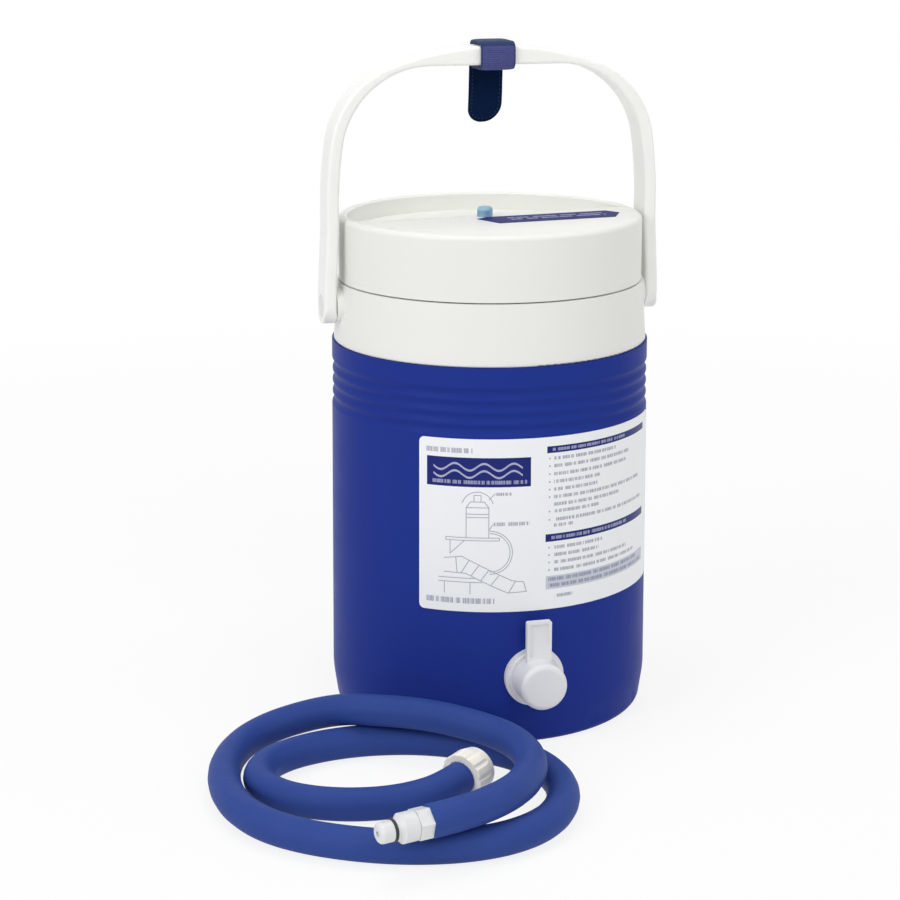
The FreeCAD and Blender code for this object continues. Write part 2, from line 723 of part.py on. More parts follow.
def deck_step(body):
    """The left part of the deck lies a step lower and carries two raised marks."""
    step = new_sketch(body, "step", "XY_Plane", S.step_floor)
    back = S.recess_edge - S.recess_wall - S.step_depth
    outline(step, [(-17, back), (-46, -72), (-66, -57), (-80, -32), (-86, -8), (-86, back)])
    cut_above(body, step, S.step_depth * 2)
    across, along = S.mark_length / 2, S.mark_width / 2
    for name, x, y in (("mark_outer", -75, -27), ("mark_inner", -60, -44)):
        mark = new_sketch(body, name, "XY_Plane", S.deck_under + 1)
        outline(mark, [(x - across, y - along), (x + across, y - along),
                       (x + across, y + along), (x - across, y + along)])
        extrude(body, mark, S.step_floor + S.mark_height - S.deck_under - 1)


def lid_gasket():
    inner = S.liner_radius - S.seat_gap * 20
    outer = S.lip_radius - S.foam_gap
    turned("lid_gasket", [(inner, S.lip_top), (outer, S.lip_top),
                          (outer, S.flange_low), (inner, S.flange_low)])


def lid_plug():
    """Hollow plug under the lid that reaches into the liner."""
    inside = S.plug_radius - S.plug_wall
    floor = S.plug_bottom + S.plug_wall
    body = turned("lid_plug", [
        (S.neck_radius, S.flange_low), (S.neck_radius, S.flange_high), (inside, S.flange_high),
        (inside, floor, S.plug_wall * 2), (0, floor), (0, S.plug_bottom),
        (S.plug_radius, S.plug_bottom, S.plug_wall * 3), (S.plug_radius, S.flange_low),
    ])
    hole = new_sketch(body, "vent_hole", "XY_Plane", S.plug_bottom - 1)
    circle(hole, S.vent_x, S.vent_y, S.vent_tube_radius + S.seat_gap)
    cut_above(body, hole, S.plug_depth)
    turn_with_lid(body)


def lid_foam():
    low = S.plug_bottom + S.plug_wall + S.foam_gap
    high = S.recess_under - S.foam_gap
    radius = S.plug_radius - S.plug_wall - S.foam_gap
    body = turned("lid_foam", [(0, low), (radius, low, S.plug_wall * 2), (radius, high), (0, high)])
    hole = new_sketch(body, "vent_hole", "XY_Plane", low - 1)
    circle(hole, S.vent_x, S.vent_y, S.vent_tube_radius + S.foam_gap)
    cut_above(body, hole, S.plug_depth * 2)
    turn_with_lid(body)


def lid_strip():
    """Thin printed strip on the deck, in front of the vent."""
    body = new_body("lid_strip")
    sketch = new_sketch(body, "outline", "XY_Plane", S.deck_height)
    front, back, left, right = -36, -11.6, -14.5, 77
    outline(sketch, [(left, back - 5), (left + 8, back), (right - 5, back), (right, back - 10),
                     (right - 9, front), (left + 7, front)])
    extrude(body, sketch, S.strip_thick)
    turn_with_lid(body)


def stand_on_vent(body):
    """Moves a body drawn on the jug's axis over to the vent's axis in the turned lid."""
    cosine = Size(math.cos(math.radians(S.lid_turn_angle.value)), "cos(Sizes.lid_turn_angle * 1 deg)")
    sine = Size(math.sin(math.radians(S.lid_turn_angle.value)), "sin(Sizes.lid_turn_angle * 1 deg)")
    bind(body, "Placement.Base.x", S.vent_x * cosine - S.vent_y * sine)
    bind(body, "Placement.Base.y", S.vent_x * sine + S.vent_y * cosine)


def vent_tube():
    """Air passage from the knob down through the foam and the plug, with a wider seat at its top."""
    seat_low = S.deck_under - S.vent_seat_depth
    ledge = seat_low - S.vent_seat_wall
    outer = S.vent_seat_radius + S.vent_seat_wall
    body = turned("vent_tube", [
        (S.vent_bore, S.plug_bottom), (S.vent_tube_radius, S.plug_bottom), (S.vent_tube_radius, ledge),
        (outer, ledge), (outer, S.deck_under), (S.vent_seat_radius, S.deck_under),
        (S.vent_seat_radius, seat_low), (S.vent_bore, seat_low),
    ])
    stand_on_vent(body)


def vent_knob():
    """Pull-up knob with a grooved stem."""
    low = S.deck_height + S.vent_knob_lift
    high = low + S.vent_knob_height
    groove_low = S.vent_stem_end + 1.6 * S.vent_ring_section
    groove_high = groove_low + 2.4 * S.vent_ring_section
    neck = S.vent_seat_radius - 2 * S.vent_ring_section
    body = turned("vent_knob", [
        (0, S.vent_stem_end), (S.vent_stem_radius, S.vent_stem_end), (S.vent_stem_radius, groove_low),
        (neck, groove_low), (neck, groove_high), (S.vent_stem_radius, groove_high),
        (S.vent_stem_radius, low), (S.vent_knob_radius, low),
        (S.vent_knob_radius, high, S.vent_knob_height / 6), (0, high),
    ])
    stand_on_vent(body)


def vent_o_ring():
    middle = S.vent_stem_end + 2.8 * S.vent_ring_section
    stand_on_vent(ring("vent_o_ring", S.vent_seat_radius - S.vent_ring_section, middle, S.vent_ring_section))


def ring(name, radius, height, section):
    body = new_body(name)
    sketch = new_sketch(body, "section", "XZ_Plane")
    circle(sketch, radius, height, section)
    revolve(body, sketch)
    return body


# -------------------------------------------------------------------- handle
def handle():
    """Bail of flat section with two feet; drawn from the pivot axis up."""
    body = new_body("handle")
    bind(body, "Placement.Base.z", S.pivot_height)
    right_half = half_handle(body)
    mirrored = body.newObject("PartDesign::Mirrored", "handle_mirrored")
    mirrored.Originals = [right_half]
    mirrored.MirrorPlane = (next(o for o in body.Origin.OriginFeatures if o.Role == "YZ_Plane"), [""])
    body.Tip = mirrored
    doc.recompute()
    fillet = body.newObject("PartDesign::Fillet", "handle_edges")
    fillet.Base = (mirrored, long_edges(body.Shape))
    fillet.Radius = value(S.handle_edge)
    bind(fillet, "Radius", S.handle_edge)
    body.Tip = fillet
    doc.recompute()
    foot = new_sketch(body, "foot_round", "YZ_Plane")
    outside_half_disc(foot, S.handle_depth / 2)
    extrude(body, foot, S.foot_outside * 3, "Pocket", both=True)
    bore = new_sketch(body, "pin_bore", "YZ_Plane")
    circle(bore, 0, 0, S.pin_radius + S.running_gap)
    extrude(body, bore, S.foot_outside * 3, "Pocket", both=True)
    inner = S.foot_outside - S.pin_head_thick - S.running_gap
    radius = S.pin_radius + S.pin_head_width + S.running_gap
    outer = S.foot_outside + S.handle_thick
    for name, side in (("sink_right", 1), ("sink_left", -1)):
        sink = new_sketch(body, name, "XZ_Plane")
        outline(sink, [(side * x, y) for x, y in [(inner, 0), (inner, radius), (outer, radius), (outer, 0)]])
        revolve(body, sink, axis="H_Axis", kind="Groove")


def long_edges(shape):
    """The edges that run along the bail on its front and back faces, above the feet's ends."""
    side = S.handle_depth.value / 2
    found = []
    for i, edge in enumerate(shape.Edges):
        depths = {round(v.Y, 3) for v in edge.Vertexes}
        if len(depths) == 1 and abs(abs(depths.pop()) - side) < 0.001 and any(v.Z > 0 for v in edge.Vertexes):
            found.append(f"Edge{i + 1}")
    return found


def outside_half_disc(sketch, radius):
    """Everything below the pivot that lies outside the foot's half circle."""
    r = value(radius)
    arc = sketch.addGeometry(Part.Arc(V(-r, 0, 0), V(0, -r, 0), V(r, 0, 0)), False)
    sketch.addConstraint(Sketcher.Constraint("Coincident", arc, 3, -1, 1))
    dimension = sketch.addConstraint(Sketcher.Constraint("Radius", arc, r))
    bind(sketch, f"Constraints[{dimension}]", radius)
    wide = radius * 1.5
    corners = [(radius, 0), (wide, 0), (wide, -wide), (-wide, -wide), (-wide, 0), (-radius, 0)]
    lines = [sketch.addGeometry(Part.LineSegment(V(value(a[0]), value(a[1]), 0),
                                                 V(value(b[0]), value(b[1]), 0)), False)
             for a, b in zip(corners, corners[1:])]
    sketch.addConstraint(Sketcher.Constraint("Coincident", arc, 2, lines[0], 1))
    sketch.addConstraint(Sketcher.Constraint("Coincident", arc, 1, lines[-1], 2))
    for first, last in zip(lines, lines[1:]):
        sketch.addConstraint(Sketcher.Constraint("Coincident", first, 2, last, 1))
    sketch.addConstraint(Sketcher.Constraint("PointOnObject", arc, 1, -1))
    sketch.addConstraint(Sketcher.Constraint("PointOnObject", arc, 2, -1))
    for number, corner in zip(lines, corners[1:-1]):
        fix_point(sketch, number, 2, *corner)


def half_handle(body):
    """The right half of the bail's front view: foot, upright and crown, with a flat grip inside."""
    sketch = new_sketch(body, "half", "XZ_Plane")
    side_centre = V(value(S.side_outside - S.side_arc), value(S.handle_bend_rise), 0)
    top_centre = V(0, value(S.handle_rise - S.top_arc), 0)
    corner_centre = meeting(side_centre, value(S.side_arc - S.corner_arc),
                            top_centre, value(S.top_arc - S.corner_arc))
    outer = arc_chain(sketch, [(side_centre, S.side_arc), (corner_centre, S.corner_arc),
                               (top_centre, S.top_arc)])
    grip_low = S.handle_rise - S.grip_height
    side_inside = S.side_arc - S.handle_thick
    fall = value(grip_low - S.grip_corner - S.handle_bend_rise)
    across = math.sqrt(value(side_inside - S.grip_corner) ** 2 - fall ** 2)
    grip_centre = side_centre + V(across, fall, 0)
    inner = arc_chain(sketch, [(side_centre, side_inside), (grip_centre, S.grip_corner)])
    foot, side_face, inset = S.foot_outside, S.side_outside, S.handle_thick
    low = -(S.handle_depth / 2)
    lines = chain(sketch, [
        (side_face, S.handle_bend_rise), (side_face, S.handle_side_rise), (foot, S.handle_foot_rise),
        (foot, low), (foot - inset, low), (foot - inset, S.handle_foot_rise),
        (side_face - inset, S.handle_side_rise), (side_face - inset, S.handle_bend_rise)])
    crown = chain(sketch, [(0, S.handle_rise), (0, grip_low), (grip_centre.x, grip_low)])
    for arcs, line, end in ((outer, lines[0], 1), (inner, lines[-1], 2)):
        sketch.addConstraint(Sketcher.Constraint("Tangent", arcs[0], 1, line, end))
        for before, after in zip(arcs, arcs[1:]):
            sketch.addConstraint(Sketcher.Constraint("Tangent", before, 2, after, 1))
    sketch.addConstraint(Sketcher.Constraint("Coincident", outer[0], 3, inner[0], 3))
    sketch.addConstraint(Sketcher.Constraint("Tangent", inner[-1], 2, crown[1], 2))
    for arc, radius in zip(outer + inner[1:], (S.side_arc, S.corner_arc, S.top_arc, S.grip_corner)):
        dimension = sketch.addConstraint(Sketcher.Constraint("Radius", arc, value(radius)))
        bind(sketch, f"Constraints[{dimension}]", radius)
    sketch.addConstraint(Sketcher.Constraint("Vertical", lines[0]))
    sketch.addConstraint(Sketcher.Constraint("PointOnObject", outer[2], 3, -2))
    sketch.addConstraint(Sketcher.Constraint("Coincident", outer[2], 2, crown[0], 1))
    fix_point(sketch, crown[0], 1, 0, S.handle_rise)
    sketch.addConstraint(Sketcher.Constraint("Horizontal", crown[1]))
    dimension = sketch.addConstraint(Sketcher.Constraint("DistanceY", -1, 1, outer[0], 3,
                                                         value(S.handle_bend_rise)))
    bind(sketch, f"Constraints[{dimension}]", S.handle_bend_rise)
    return extrude(body, sketch, S.handle_depth, both=True)


def chain(sketch, path):
    """Straight lines through the points of a path; the ones between its ends are fixed."""
    lines = [sketch.addGeometry(Part.LineSegment(V(value(a[0]), value(a[1]), 0),
                                                 V(value(b[0]), value(b[1]), 0)), False)
             for a, b in zip(path, path[1:])]
    for first, last in zip(lines, lines[1:]):
        sketch.addConstraint(Sketcher.Constraint("Coincident", first, 2, last, 1))
    for number, corner in zip(lines, path[1:-1]):
        fix_point(sketch, number, 2, *corner)
    return lines


def arc_chain(sketch, circles):
    """Arcs that run on into each other from straight right of the first centre to above the last."""
    spots = [V(*centre) for centre, radius in circles]
    radii = [value(radius) for centre, radius in circles]
    points = [spots[0] + V(radii[0], 0, 0)]
    for centre, radius, following in zip(spots, radii, radii[1:]):
        after = spots[len(points)]
        sign = 1 if radius > following else -1
        points.append(centre + (after - centre).normalize() * radius * sign)
    points.append(spots[-1] + V(0, radii[-1], 0))
    arcs = []
    for centre, radius, a, b in zip(spots, radii, points, points[1:]):
        middle = centre + ((a + b) * 0.5 - centre).normalize() * radius
        arcs.append(sketch.addGeometry(Part.Arc(a, middle, b), False))
    return arcs


def meeting(first, first_reach, second, second_reach):
    """The right-hand point at the given distances from two centres."""
    gap = second - first
    distance = gap.Length
    along = (first_reach ** 2 - second_reach ** 2 + distance ** 2) / (2 * distance)
    across = math.sqrt(first_reach ** 2 - along ** 2)
    direction = gap.normalize()
    normal = V(-direction.y, direction.x, 0)
    return max((first + direction * along + normal * across * sign for sign in (1, -1)),
               key=lambda point: point.x)


def hang_strap():
    """Band wrapped over the crown of the handle; it follows the crown's arc."""
    body = new_body("hang_strap")
    half = S.handle_depth / 2 + S.strap_gap
    low = S.top_arc - S.grip_height - S.strap_gap
    high = S.top_arc + S.strap_gap
    thick = S.strap_thick
    sketch = new_sketch(body, "section", "YZ_Plane")
    outline(sketch, [(-half - thick, low - thick, S.strap_edge), (half + thick, low - thick, S.strap_edge),
                     (half + thick, high + thick, S.strap_edge), (-half - thick, high + thick, S.strap_edge)])
    outline(sketch, [(-half, low), (half, low), (half, high), (-half, high)])
    left = -math.degrees(math.asin(S.strap_left.value / S.top_arc.value))
    right = math.degrees(math.asin(S.strap_right.value / S.top_arc.value))
    revolve(body, sketch, axis="H_Axis", angle=left + right)
    body.Placement = FreeCAD.Placement(V(0, 0, 0), FreeCAD.Rotation(V(0, 1, 0), -left))
    bind(body, "Placement.Base.z", S.handle_top - S.top_arc)


def strap_tongue():
    """Free end of the strap, hanging behind the handle."""
    back = S.handle_depth / 2 + S.strap_gap + S.strap_thick
    body = new_body("strap_tongue")
    sketch = new_sketch(body, "outline", "XZ_Plane", -back)
    tip_round = (S.tongue_right - S.strap_left) / 2 - S.strap_gap
    tip = S.handle_top - S.tongue_drop
    top = S.handle_top - S.strap_thick
    outline(sketch, [(S.strap_left, tip, tip_round), (S.tongue_right, tip, tip_round),
                     (S.tongue_right, top), (S.strap_left, top)])
    extrude(body, sketch, S.tongue_thick, reverse=True)


# ---------------------------------------------------------------------- hose
# x from the jug's axis, y from the front of its shell, height of the hose's middle
HOSE = [
    (-107.5, -158.3, 28.9), (-86.5, -152.8, 29.1), (-66.5, -142.8, 29.3), (-49.5, -127.8, 28.4),
    (-36.5, -108.3, 26.6), (-27.5, -85.8, 24.3), (-24.4, -63.8, 23.9),
    (-30.2, -43.8, 25.2), (-43.0, -27.8, 26.8), (-61.0, -13.3, 29.0),
    (-79.5, -2.3, 30.0), (-96.5, 7.2, 29.4), (-110.0, 17.7, 27.8),
    (-123.0, 29.2, 23.0), (-138.0, 38.2, 17.0), (-154.5, 38.7, 12.6),
    (-170.5, 28.7, 10.0), (-183.0, 9.7, 9.5), (-192.0, -15.3, 9.5),
    (-195.5, -43.3, 9.5), (-193.0, -70.8, 9.5), (-183.0, -96.3, 9.5),
    (-165.5, -116.8, 9.5), (-142.0, -133.3, 9.5), (-115.0, -145.3, 9.5),
    (-86.0, -150.8, 9.5), (-58.5, -147.8, 9.5), (-34.5, -134.8, 9.5),
    (-18.5, -114.3, 9.5), (-10.0, -90.8, 9.5), (-9.4, -64.8, 9.5),
    (-18.8, -37.3, 9.5), (-39.5, -13.8, 9.5), (-66.0, 3.2, 9.5),
    (-95.0, 10.7, 9.5), (-123.5, 10.2, 9.5), (-149.0, 2.2, 9.5),
    (-167.5, -12.3, 9.5), (-175.5, -32.8, 9.5), (-171.0, -53.3, 9.5),
    (-156.5, -69.8, 9.5), (-136.4, -80.3, 9.5), (-113.7, -85.1, 9.8),
    (-93.6, -84.8, 11.2), (-76.9, -80.7, 13.6), (-65.4, -71.7, 14.8),
]


def in_front(place):
    """A hose point in the jug's own frame; the hose keeps its distance from the shell's front."""
    return V(place[0], place[1] - S.base_radius.value, place[2])


def hose():
    """Foam-covered hose lying in two turns on the floor: straight runs joined by tangent arcs."""
    points = [in_front(p) for p in HOSE]
    edges, radii = [], []
    previous = points[0]
    for before, point, after in zip(points, points[1:], points[2:]):
        back, on = before - point, after - point
        turn = math.pi - back.getAngle(on)
        reach = 0.45 * min(back.Length, on.Length)
        radius = reach / math.tan(turn / 2)
        radii.append(radius)
        start = point + back.normalize() * reach
        end = point + on.normalize() * reach
        inward = ((start + end) * 0.5 - point).normalize()
        middle = point + inward * (radius / math.cos(turn / 2) - radius)
        edges.append(Part.LineSegment(previous, start).toShape())
        edges.append(Part.Arc(start, middle, end).toShape())
        previous = end
    edges.append(Part.LineSegment(previous, points[-1]).toShape())
    wire = Part.Wire(edges)
    section = Part.Wire([Part.makeCircle(S.hose_radius.value, points[0], points[1] - points[0])])
    solid = wire.makePipeShell([section], True, False, 2)
    expected = math.pi * S.hose_radius.value ** 2 * wire.Length
    print("hose length %.1f, volume ratio %.4f" % (wire.Length, solid.Volume / expected))
    print("hose bend radii", [round(r) for r in radii], "smallest %.1f" % min(radii))
    tube = doc.addObject("Part::Feature", "hose")
    tube.Label = "hose"
    tube.Shape = solid
    NODES.append(tube)


def place_on_end(body, end, inner):
    """Stands a fitting on a hose end: its local Z runs on along the hose."""
    direction = in_front(end) - in_front(inner)
    body.Placement = FreeCAD.Placement(in_front(end), FreeCAD.Rotation(V(0, 0, 1), direction))


def nut_stem():
    """Tail piece in the hose end on which the coupling nut turns."""
    body = turned("nut_stem", [
        (S.stem_bore, 0), (S.hose_radius, 0), (S.hose_radius, S.stem_collar), (S.stem_radius, S.stem_collar),
        (S.stem_radius, S.nut_flange), (S.stem_flange_radius, S.nut_flange),
        (S.stem_flange_radius, S.nut_seat), (S.stem_bore, S.nut_seat),
    ])
    place_on_end(body, HOSE[-1], HOSE[-2])


def coupling_nut():
    """Fluted nut that turns on the stem and screws on to the outlet."""
    end = S.nut_start + S.nut_length
    rear = S.hose_radius + S.foam_gap
    body = turned("coupling_nut", [
        (rear, S.nut_start), (S.nut_radius, S.nut_start, S.nut_flute_depth),
        (S.nut_radius, S.nut_start + S.nut_straight), (S.nut_mouth_radius, end, S.nut_flute_depth),
        (S.nut_thread_radius, end), (S.nut_thread_radius, S.nut_thread_start),
        (S.nut_pocket_radius, S.nut_thread_start), (S.nut_pocket_radius, S.nut_web_end),
        (S.nut_bore, S.nut_web_end), (S.nut_bore, S.nut_web_start), (rear, S.nut_web_start),
    ])
    flute = new_sketch(body, "flute", "XY_Plane")
    circle(flute, S.nut_radius + S.nut_flute_radius - S.nut_flute_depth, 0, S.nut_flute_radius)
    cut = extrude(body, flute, S.nut_length * 2, "Pocket", reverse=True)
    pattern = body.newObject("PartDesign::PolarPattern", "coupling_nut_flutes")
    pattern.Originals = [cut]
    pattern.Axis = (flute, ["N_Axis"])
    pattern.Angle = 360.0
    pattern.Occurrences = 12
    body.Tip = pattern
    doc.recompute()
    place_on_end(body, HOSE[-1], HOSE[-2])


def nut_washer():
    body = turned("nut_washer", [
        (S.stem_bore, S.nut_seat), (S.nut_washer_radius, S.nut_seat),
        (S.nut_washer_radius, S.nut_washer_top), (S.stem_bore, S.nut_washer_top),
    ])
    place_on_end(body, HOSE[-1], HOSE[-2])


def connector_ferrule():
    body = new_body("connector_ferrule")
    sketch = new_sketch(body, "hexagon", "XY_Plane")
    hexagon(sketch, S.ferrule_radius)
    circle(sketch, 0, 0, S.plug_bore)
    extrude(body, sketch, S.ferrule_length)
    place_on_end(body, HOSE[0], HOSE[1])


def connector_plug():
    """Quick-connect insert: shouldered body, ring groove and a domed nose with a fine bore."""
    body = turned("connector_plug", [
        (S.plug_bore, S.ferrule_length), (S.plug_body_radius, S.ferrule_length, S.nut_flute_depth),
        (S.plug_body_radius, S.cone_start), (S.plug_nose_radius, S.nose_start),
        (S.plug_nose_radius, S.groove_start), (S.groove_radius, S.groove_start),
        (S.groove_radius, S.groove_end), (S.plug_nose_radius, S.groove_end),
        (S.plug_nose_radius, S.nose_end, S.plug_nose_round), (S.plug_bore, S.nose_end),
    ])
    place_on_end(body, HOSE[0], HOSE[1])


def connector_o_ring():
    middle = S.groove_start + S.plug_groove_width / 2
    body = ring("connector_o_ring", S.groove_radius + S.plug_ring_section, middle, S.plug_ring_section)
    place_on_end(body, HOSE[0], HOSE[1])


# --------------------------------------------------------------------- build
outer_shell()
inner_liner()
foam_insulation()
collar()
pivot_pin("pivot_pin_right", 1)
pivot_pin("pivot_pin_left", -1)
instruction_label()
outlet_fitting()
outlet_washer()
outlet_lock_nut()
outlet_cap_seal()
outlet_cap()
lid_gasket()
lid_plug()
lid_foam()
lid_shell()
lid_strip()
vent_tube()
vent_knob()
vent_o_ring()
handle()
hang_strap()
strap_tongue()
hose()
nut_stem()
coupling_nut()
nut_washer()
connector_ferrule()
connector_plug()
connector_o_ring()
doc.recompute()

bad = [o.Name for o in doc.Objects if "Invalid" in o.State or "Error" in o.State]
assert not bad, f"features with errors: {bad}"
for node in NODES:
    shape = node.Shape
    assert not shape.isNull() and shape.isValid() and len(shape.Solids) == 1, f"{node.Label} is not one solid"
    shape.exportStep(os.path.join("parts", node.Label + ".step"))
    box = shape.BoundBox
    print("%-20s %8.1f cm3  x %.1f..%.1f  y %.1f..%.1f  z %.1f..%.1f"
          % (node.Label, shape.Volume / 1000, box.XMin, box.XMax, box.YMin, box.YMax, box.ZMin, box.ZMax))
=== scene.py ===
# %% [markdown]
# # A cold therapy jug and its hose
# The CAD model holds every rigid piece of the jug. This notebook loads it as a fixed frame and adds what a
# CAD model leaves out: the soft hose, the strap, the printing, and the finishes of the plastics.
# Everything is in metres, with the jug standing on the floor at the origin and its outlet towards -Y.

# %% Load the frame
import bpy
import math
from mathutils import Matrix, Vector


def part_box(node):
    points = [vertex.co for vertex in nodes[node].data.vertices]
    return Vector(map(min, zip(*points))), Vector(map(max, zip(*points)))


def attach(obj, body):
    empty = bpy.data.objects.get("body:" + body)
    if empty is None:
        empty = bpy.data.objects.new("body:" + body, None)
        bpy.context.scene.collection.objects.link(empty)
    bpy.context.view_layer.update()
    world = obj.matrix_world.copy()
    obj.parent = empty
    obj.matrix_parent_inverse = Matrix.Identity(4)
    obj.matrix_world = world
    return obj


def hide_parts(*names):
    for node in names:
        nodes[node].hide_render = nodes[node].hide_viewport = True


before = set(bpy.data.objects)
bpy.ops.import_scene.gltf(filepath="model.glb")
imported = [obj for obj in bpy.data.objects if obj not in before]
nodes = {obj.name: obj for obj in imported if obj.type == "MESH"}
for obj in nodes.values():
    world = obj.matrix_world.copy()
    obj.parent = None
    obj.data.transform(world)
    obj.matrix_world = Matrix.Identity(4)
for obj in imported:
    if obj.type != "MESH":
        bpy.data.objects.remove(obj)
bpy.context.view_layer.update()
scene = bpy.context.scene
print("nodes in the frame:", len(nodes))

# %% [markdown]
# ## The camera
# The jug is seen from a little above and from its left, so that the outlet points down and to the right.
# A camera is easiest to place by the ground distance, its height and two angles: how far it is turned and
# how far it looks down. A long lens keeps the sides of the jug nearly parallel, as in a catalogue picture.

# %% Camera
CAMERA_DISTANCE = 1.400
CAMERA_HEIGHT = 0.5198
CAMERA_AROUND = math.radians(-16.2)
CAMERA_DOWN = math.radians(14.42)
CAMERA_ASIDE = math.radians(-1.0)
LENS_PER_WIDTH = 2.5544

camera_data = bpy.data.cameras.new("catalogue_camera")
camera_data.sensor_width = 36.0
camera_data.lens = camera_data.sensor_width * LENS_PER_WIDTH
camera = bpy.data.objects.new("catalogue_camera", camera_data)
scene.collection.objects.link(camera)
camera.location = (CAMERA_DISTANCE * math.sin(CAMERA_AROUND),
                   -CAMERA_DISTANCE * math.cos(CAMERA_AROUND), CAMERA_HEIGHT)
camera.rotation_euler = (math.pi / 2 - CAMERA_DOWN, 0, CAMERA_AROUND - CAMERA_ASIDE)
scene.camera = camera
print("lens", round(camera_data.lens, 1), "mm")

# %% [markdown]
# ## The hose
# A foam-covered hose of 19 mm lies on the floor in two loose turns. Its middle line is one NURBS curve whose
# control points are the corners of the CAD tube's route, so the curve stays on that route. A round bevel
# gives it its thickness. The order is set after the points are added, or Blender drops the clamped ends.

# %% Hose curve
HOSE_DIAMETER = 0.019
SHELL_FRONT = 0.0992
HOSE_ROUTE = [
    (-0.1075, -0.1583, 0.0289), (-0.0865, -0.1528, 0.0291), (-0.0665, -0.1428, 0.0293),
    (-0.0495, -0.1278, 0.0284), (-0.0365, -0.1083, 0.0266), (-0.0275, -0.0858, 0.0243),
    (-0.0244, -0.0638, 0.0239), (-0.0302, -0.0438, 0.0252), (-0.0430, -0.0278, 0.0268),
    (-0.0610, -0.0133, 0.0290), (-0.0795, -0.0023, 0.0300), (-0.0965, 0.0072, 0.0294),
    (-0.1100, 0.0177, 0.0278), (-0.1230, 0.0292, 0.0230), (-0.1380, 0.0382, 0.0170),
    (-0.1545, 0.0387, 0.0126), (-0.1705, 0.0287, 0.0100), (-0.1830, 0.0097, 0.0095),
    (-0.1920, -0.0153, 0.0095), (-0.1955, -0.0433, 0.0095), (-0.1930, -0.0708, 0.0095),
    (-0.1830, -0.0963, 0.0095), (-0.1655, -0.1168, 0.0095), (-0.1420, -0.1333, 0.0095),
    (-0.1150, -0.1453, 0.0095), (-0.0860, -0.1508, 0.0095), (-0.0585, -0.1478, 0.0095),
    (-0.0345, -0.1348, 0.0095), (-0.0185, -0.1143, 0.0095), (-0.0100, -0.0908, 0.0095),
    (-0.0094, -0.0648, 0.0095), (-0.0188, -0.0373, 0.0095), (-0.0395, -0.0138, 0.0095),
    (-0.0660, 0.0032, 0.0095), (-0.0950, 0.0107, 0.0095), (-0.1235, 0.0102, 0.0095),
    (-0.1490, 0.0022, 0.0095), (-0.1675, -0.0123, 0.0095), (-0.1755, -0.0328, 0.0095),
    (-0.1710, -0.0533, 0.0095), (-0.1565, -0.0698, 0.0095), (-0.1364, -0.0803, 0.0095),
    (-0.1137, -0.0851, 0.0098), (-0.0936, -0.0848, 0.0112), (-0.0769, -0.0807, 0.0136),
    (-0.0654, -0.0717, 0.0148),
]
hose_points = [Vector((x, y - SHELL_FRONT, z)) for x, y, z in HOSE_ROUTE]

hose_curve = bpy.data.curves.new("hose_sleeve", "CURVE")
hose_curve.dimensions = "3D"
spline = hose_curve.splines.new("NURBS")
spline.points.add(len(hose_points) - 1)
for control, place in zip(spline.points, hose_points):
    control.co = (*place, 1.0)
spline.order_u = 3
spline.use_endpoint_u = True
spline.resolution_u = 6
hose_curve.bevel_depth = HOSE_DIAMETER / 2
hose_curve.bevel_resolution = 8
hose_curve.use_fill_caps = True
hose = bpy.data.objects.new("hose_sleeve", hose_curve)
scene.collection.objects.link(hose)
print("hose control points:", len(spline.points))

# %% [markdown]
# A copy of the curve without its bevel gives the middle line as a row of points.

# %% Hose middle line
def middle_line(curve):
    """The points along a curve, taken from a copy of it without its thickness."""
    flat_version = curve.copy()
    flat_version.bevel_depth = 0.0
    flat_version.use_fill_caps = False
    holder = bpy.data.objects.new("bare_curve", flat_version)
    mesh = bpy.data.meshes.new_from_object(holder)
    places = [v.co.copy() for v in mesh.vertices]
    bpy.data.objects.remove(holder)
    bpy.data.curves.remove(flat_version)
    bpy.data.meshes.remove(mesh)
    return places


hose_line = middle_line(hose_curve)

# %% [markdown]
# ## Writing finishes as sums
# A finish is a small graph of nodes. Written node by node it is hard to read, so the class below wraps one
# output socket and turns +, -, * and / into Math nodes. A line such as `1 - mask * 0.5` then reads as the
# sum that it is. Colours are mixed with their own method, because a Math node would turn them grey.

# %% Sockets as values
class Wire:
    """One number or vector that a node gives out."""

    def __init__(self, finish, socket):
        self.finish = finish
        self.socket = socket

    def math(self, operation, *others):
        return self.finish.node("ShaderNodeMath", {"operation": operation}, dict(enumerate((self, *others))))

    def __add__(self, other):
        return self.math("ADD", other)

    def __radd__(self, other):
        return self + other

    def __sub__(self, other):
        return self.math("SUBTRACT", other)

    def __rsub__(self, other):
        return self * -1.0 + other

    def __mul__(self, other):
        return self.math("MULTIPLY", other)

    def __rmul__(self, other):
        return self * other

    def __truediv__(self, other):
        return self.math("DIVIDE", other)

    def __gt__(self, other):
        return self.math("GREATER_THAN", other)

    def __lt__(self, other):
        return self.math("LESS_THAN", other)

    def between(self, low, high):
        """1 where the value lies between low and high, and 0 elsewhere."""
        return (self > low) * (self < high)

    def near(self, value, reach):
        """1 where the value is within reach of the given one."""
        return abs(self - value) < reach

    def __abs__(self):
        return self.math("ABSOLUTE")

    def wave(self):
        return self.math("SINE")

    def either(self, other):
        return self.math("MAXIMUM", other)

    def at_most(self, other):
        return self.math("MINIMUM", other)


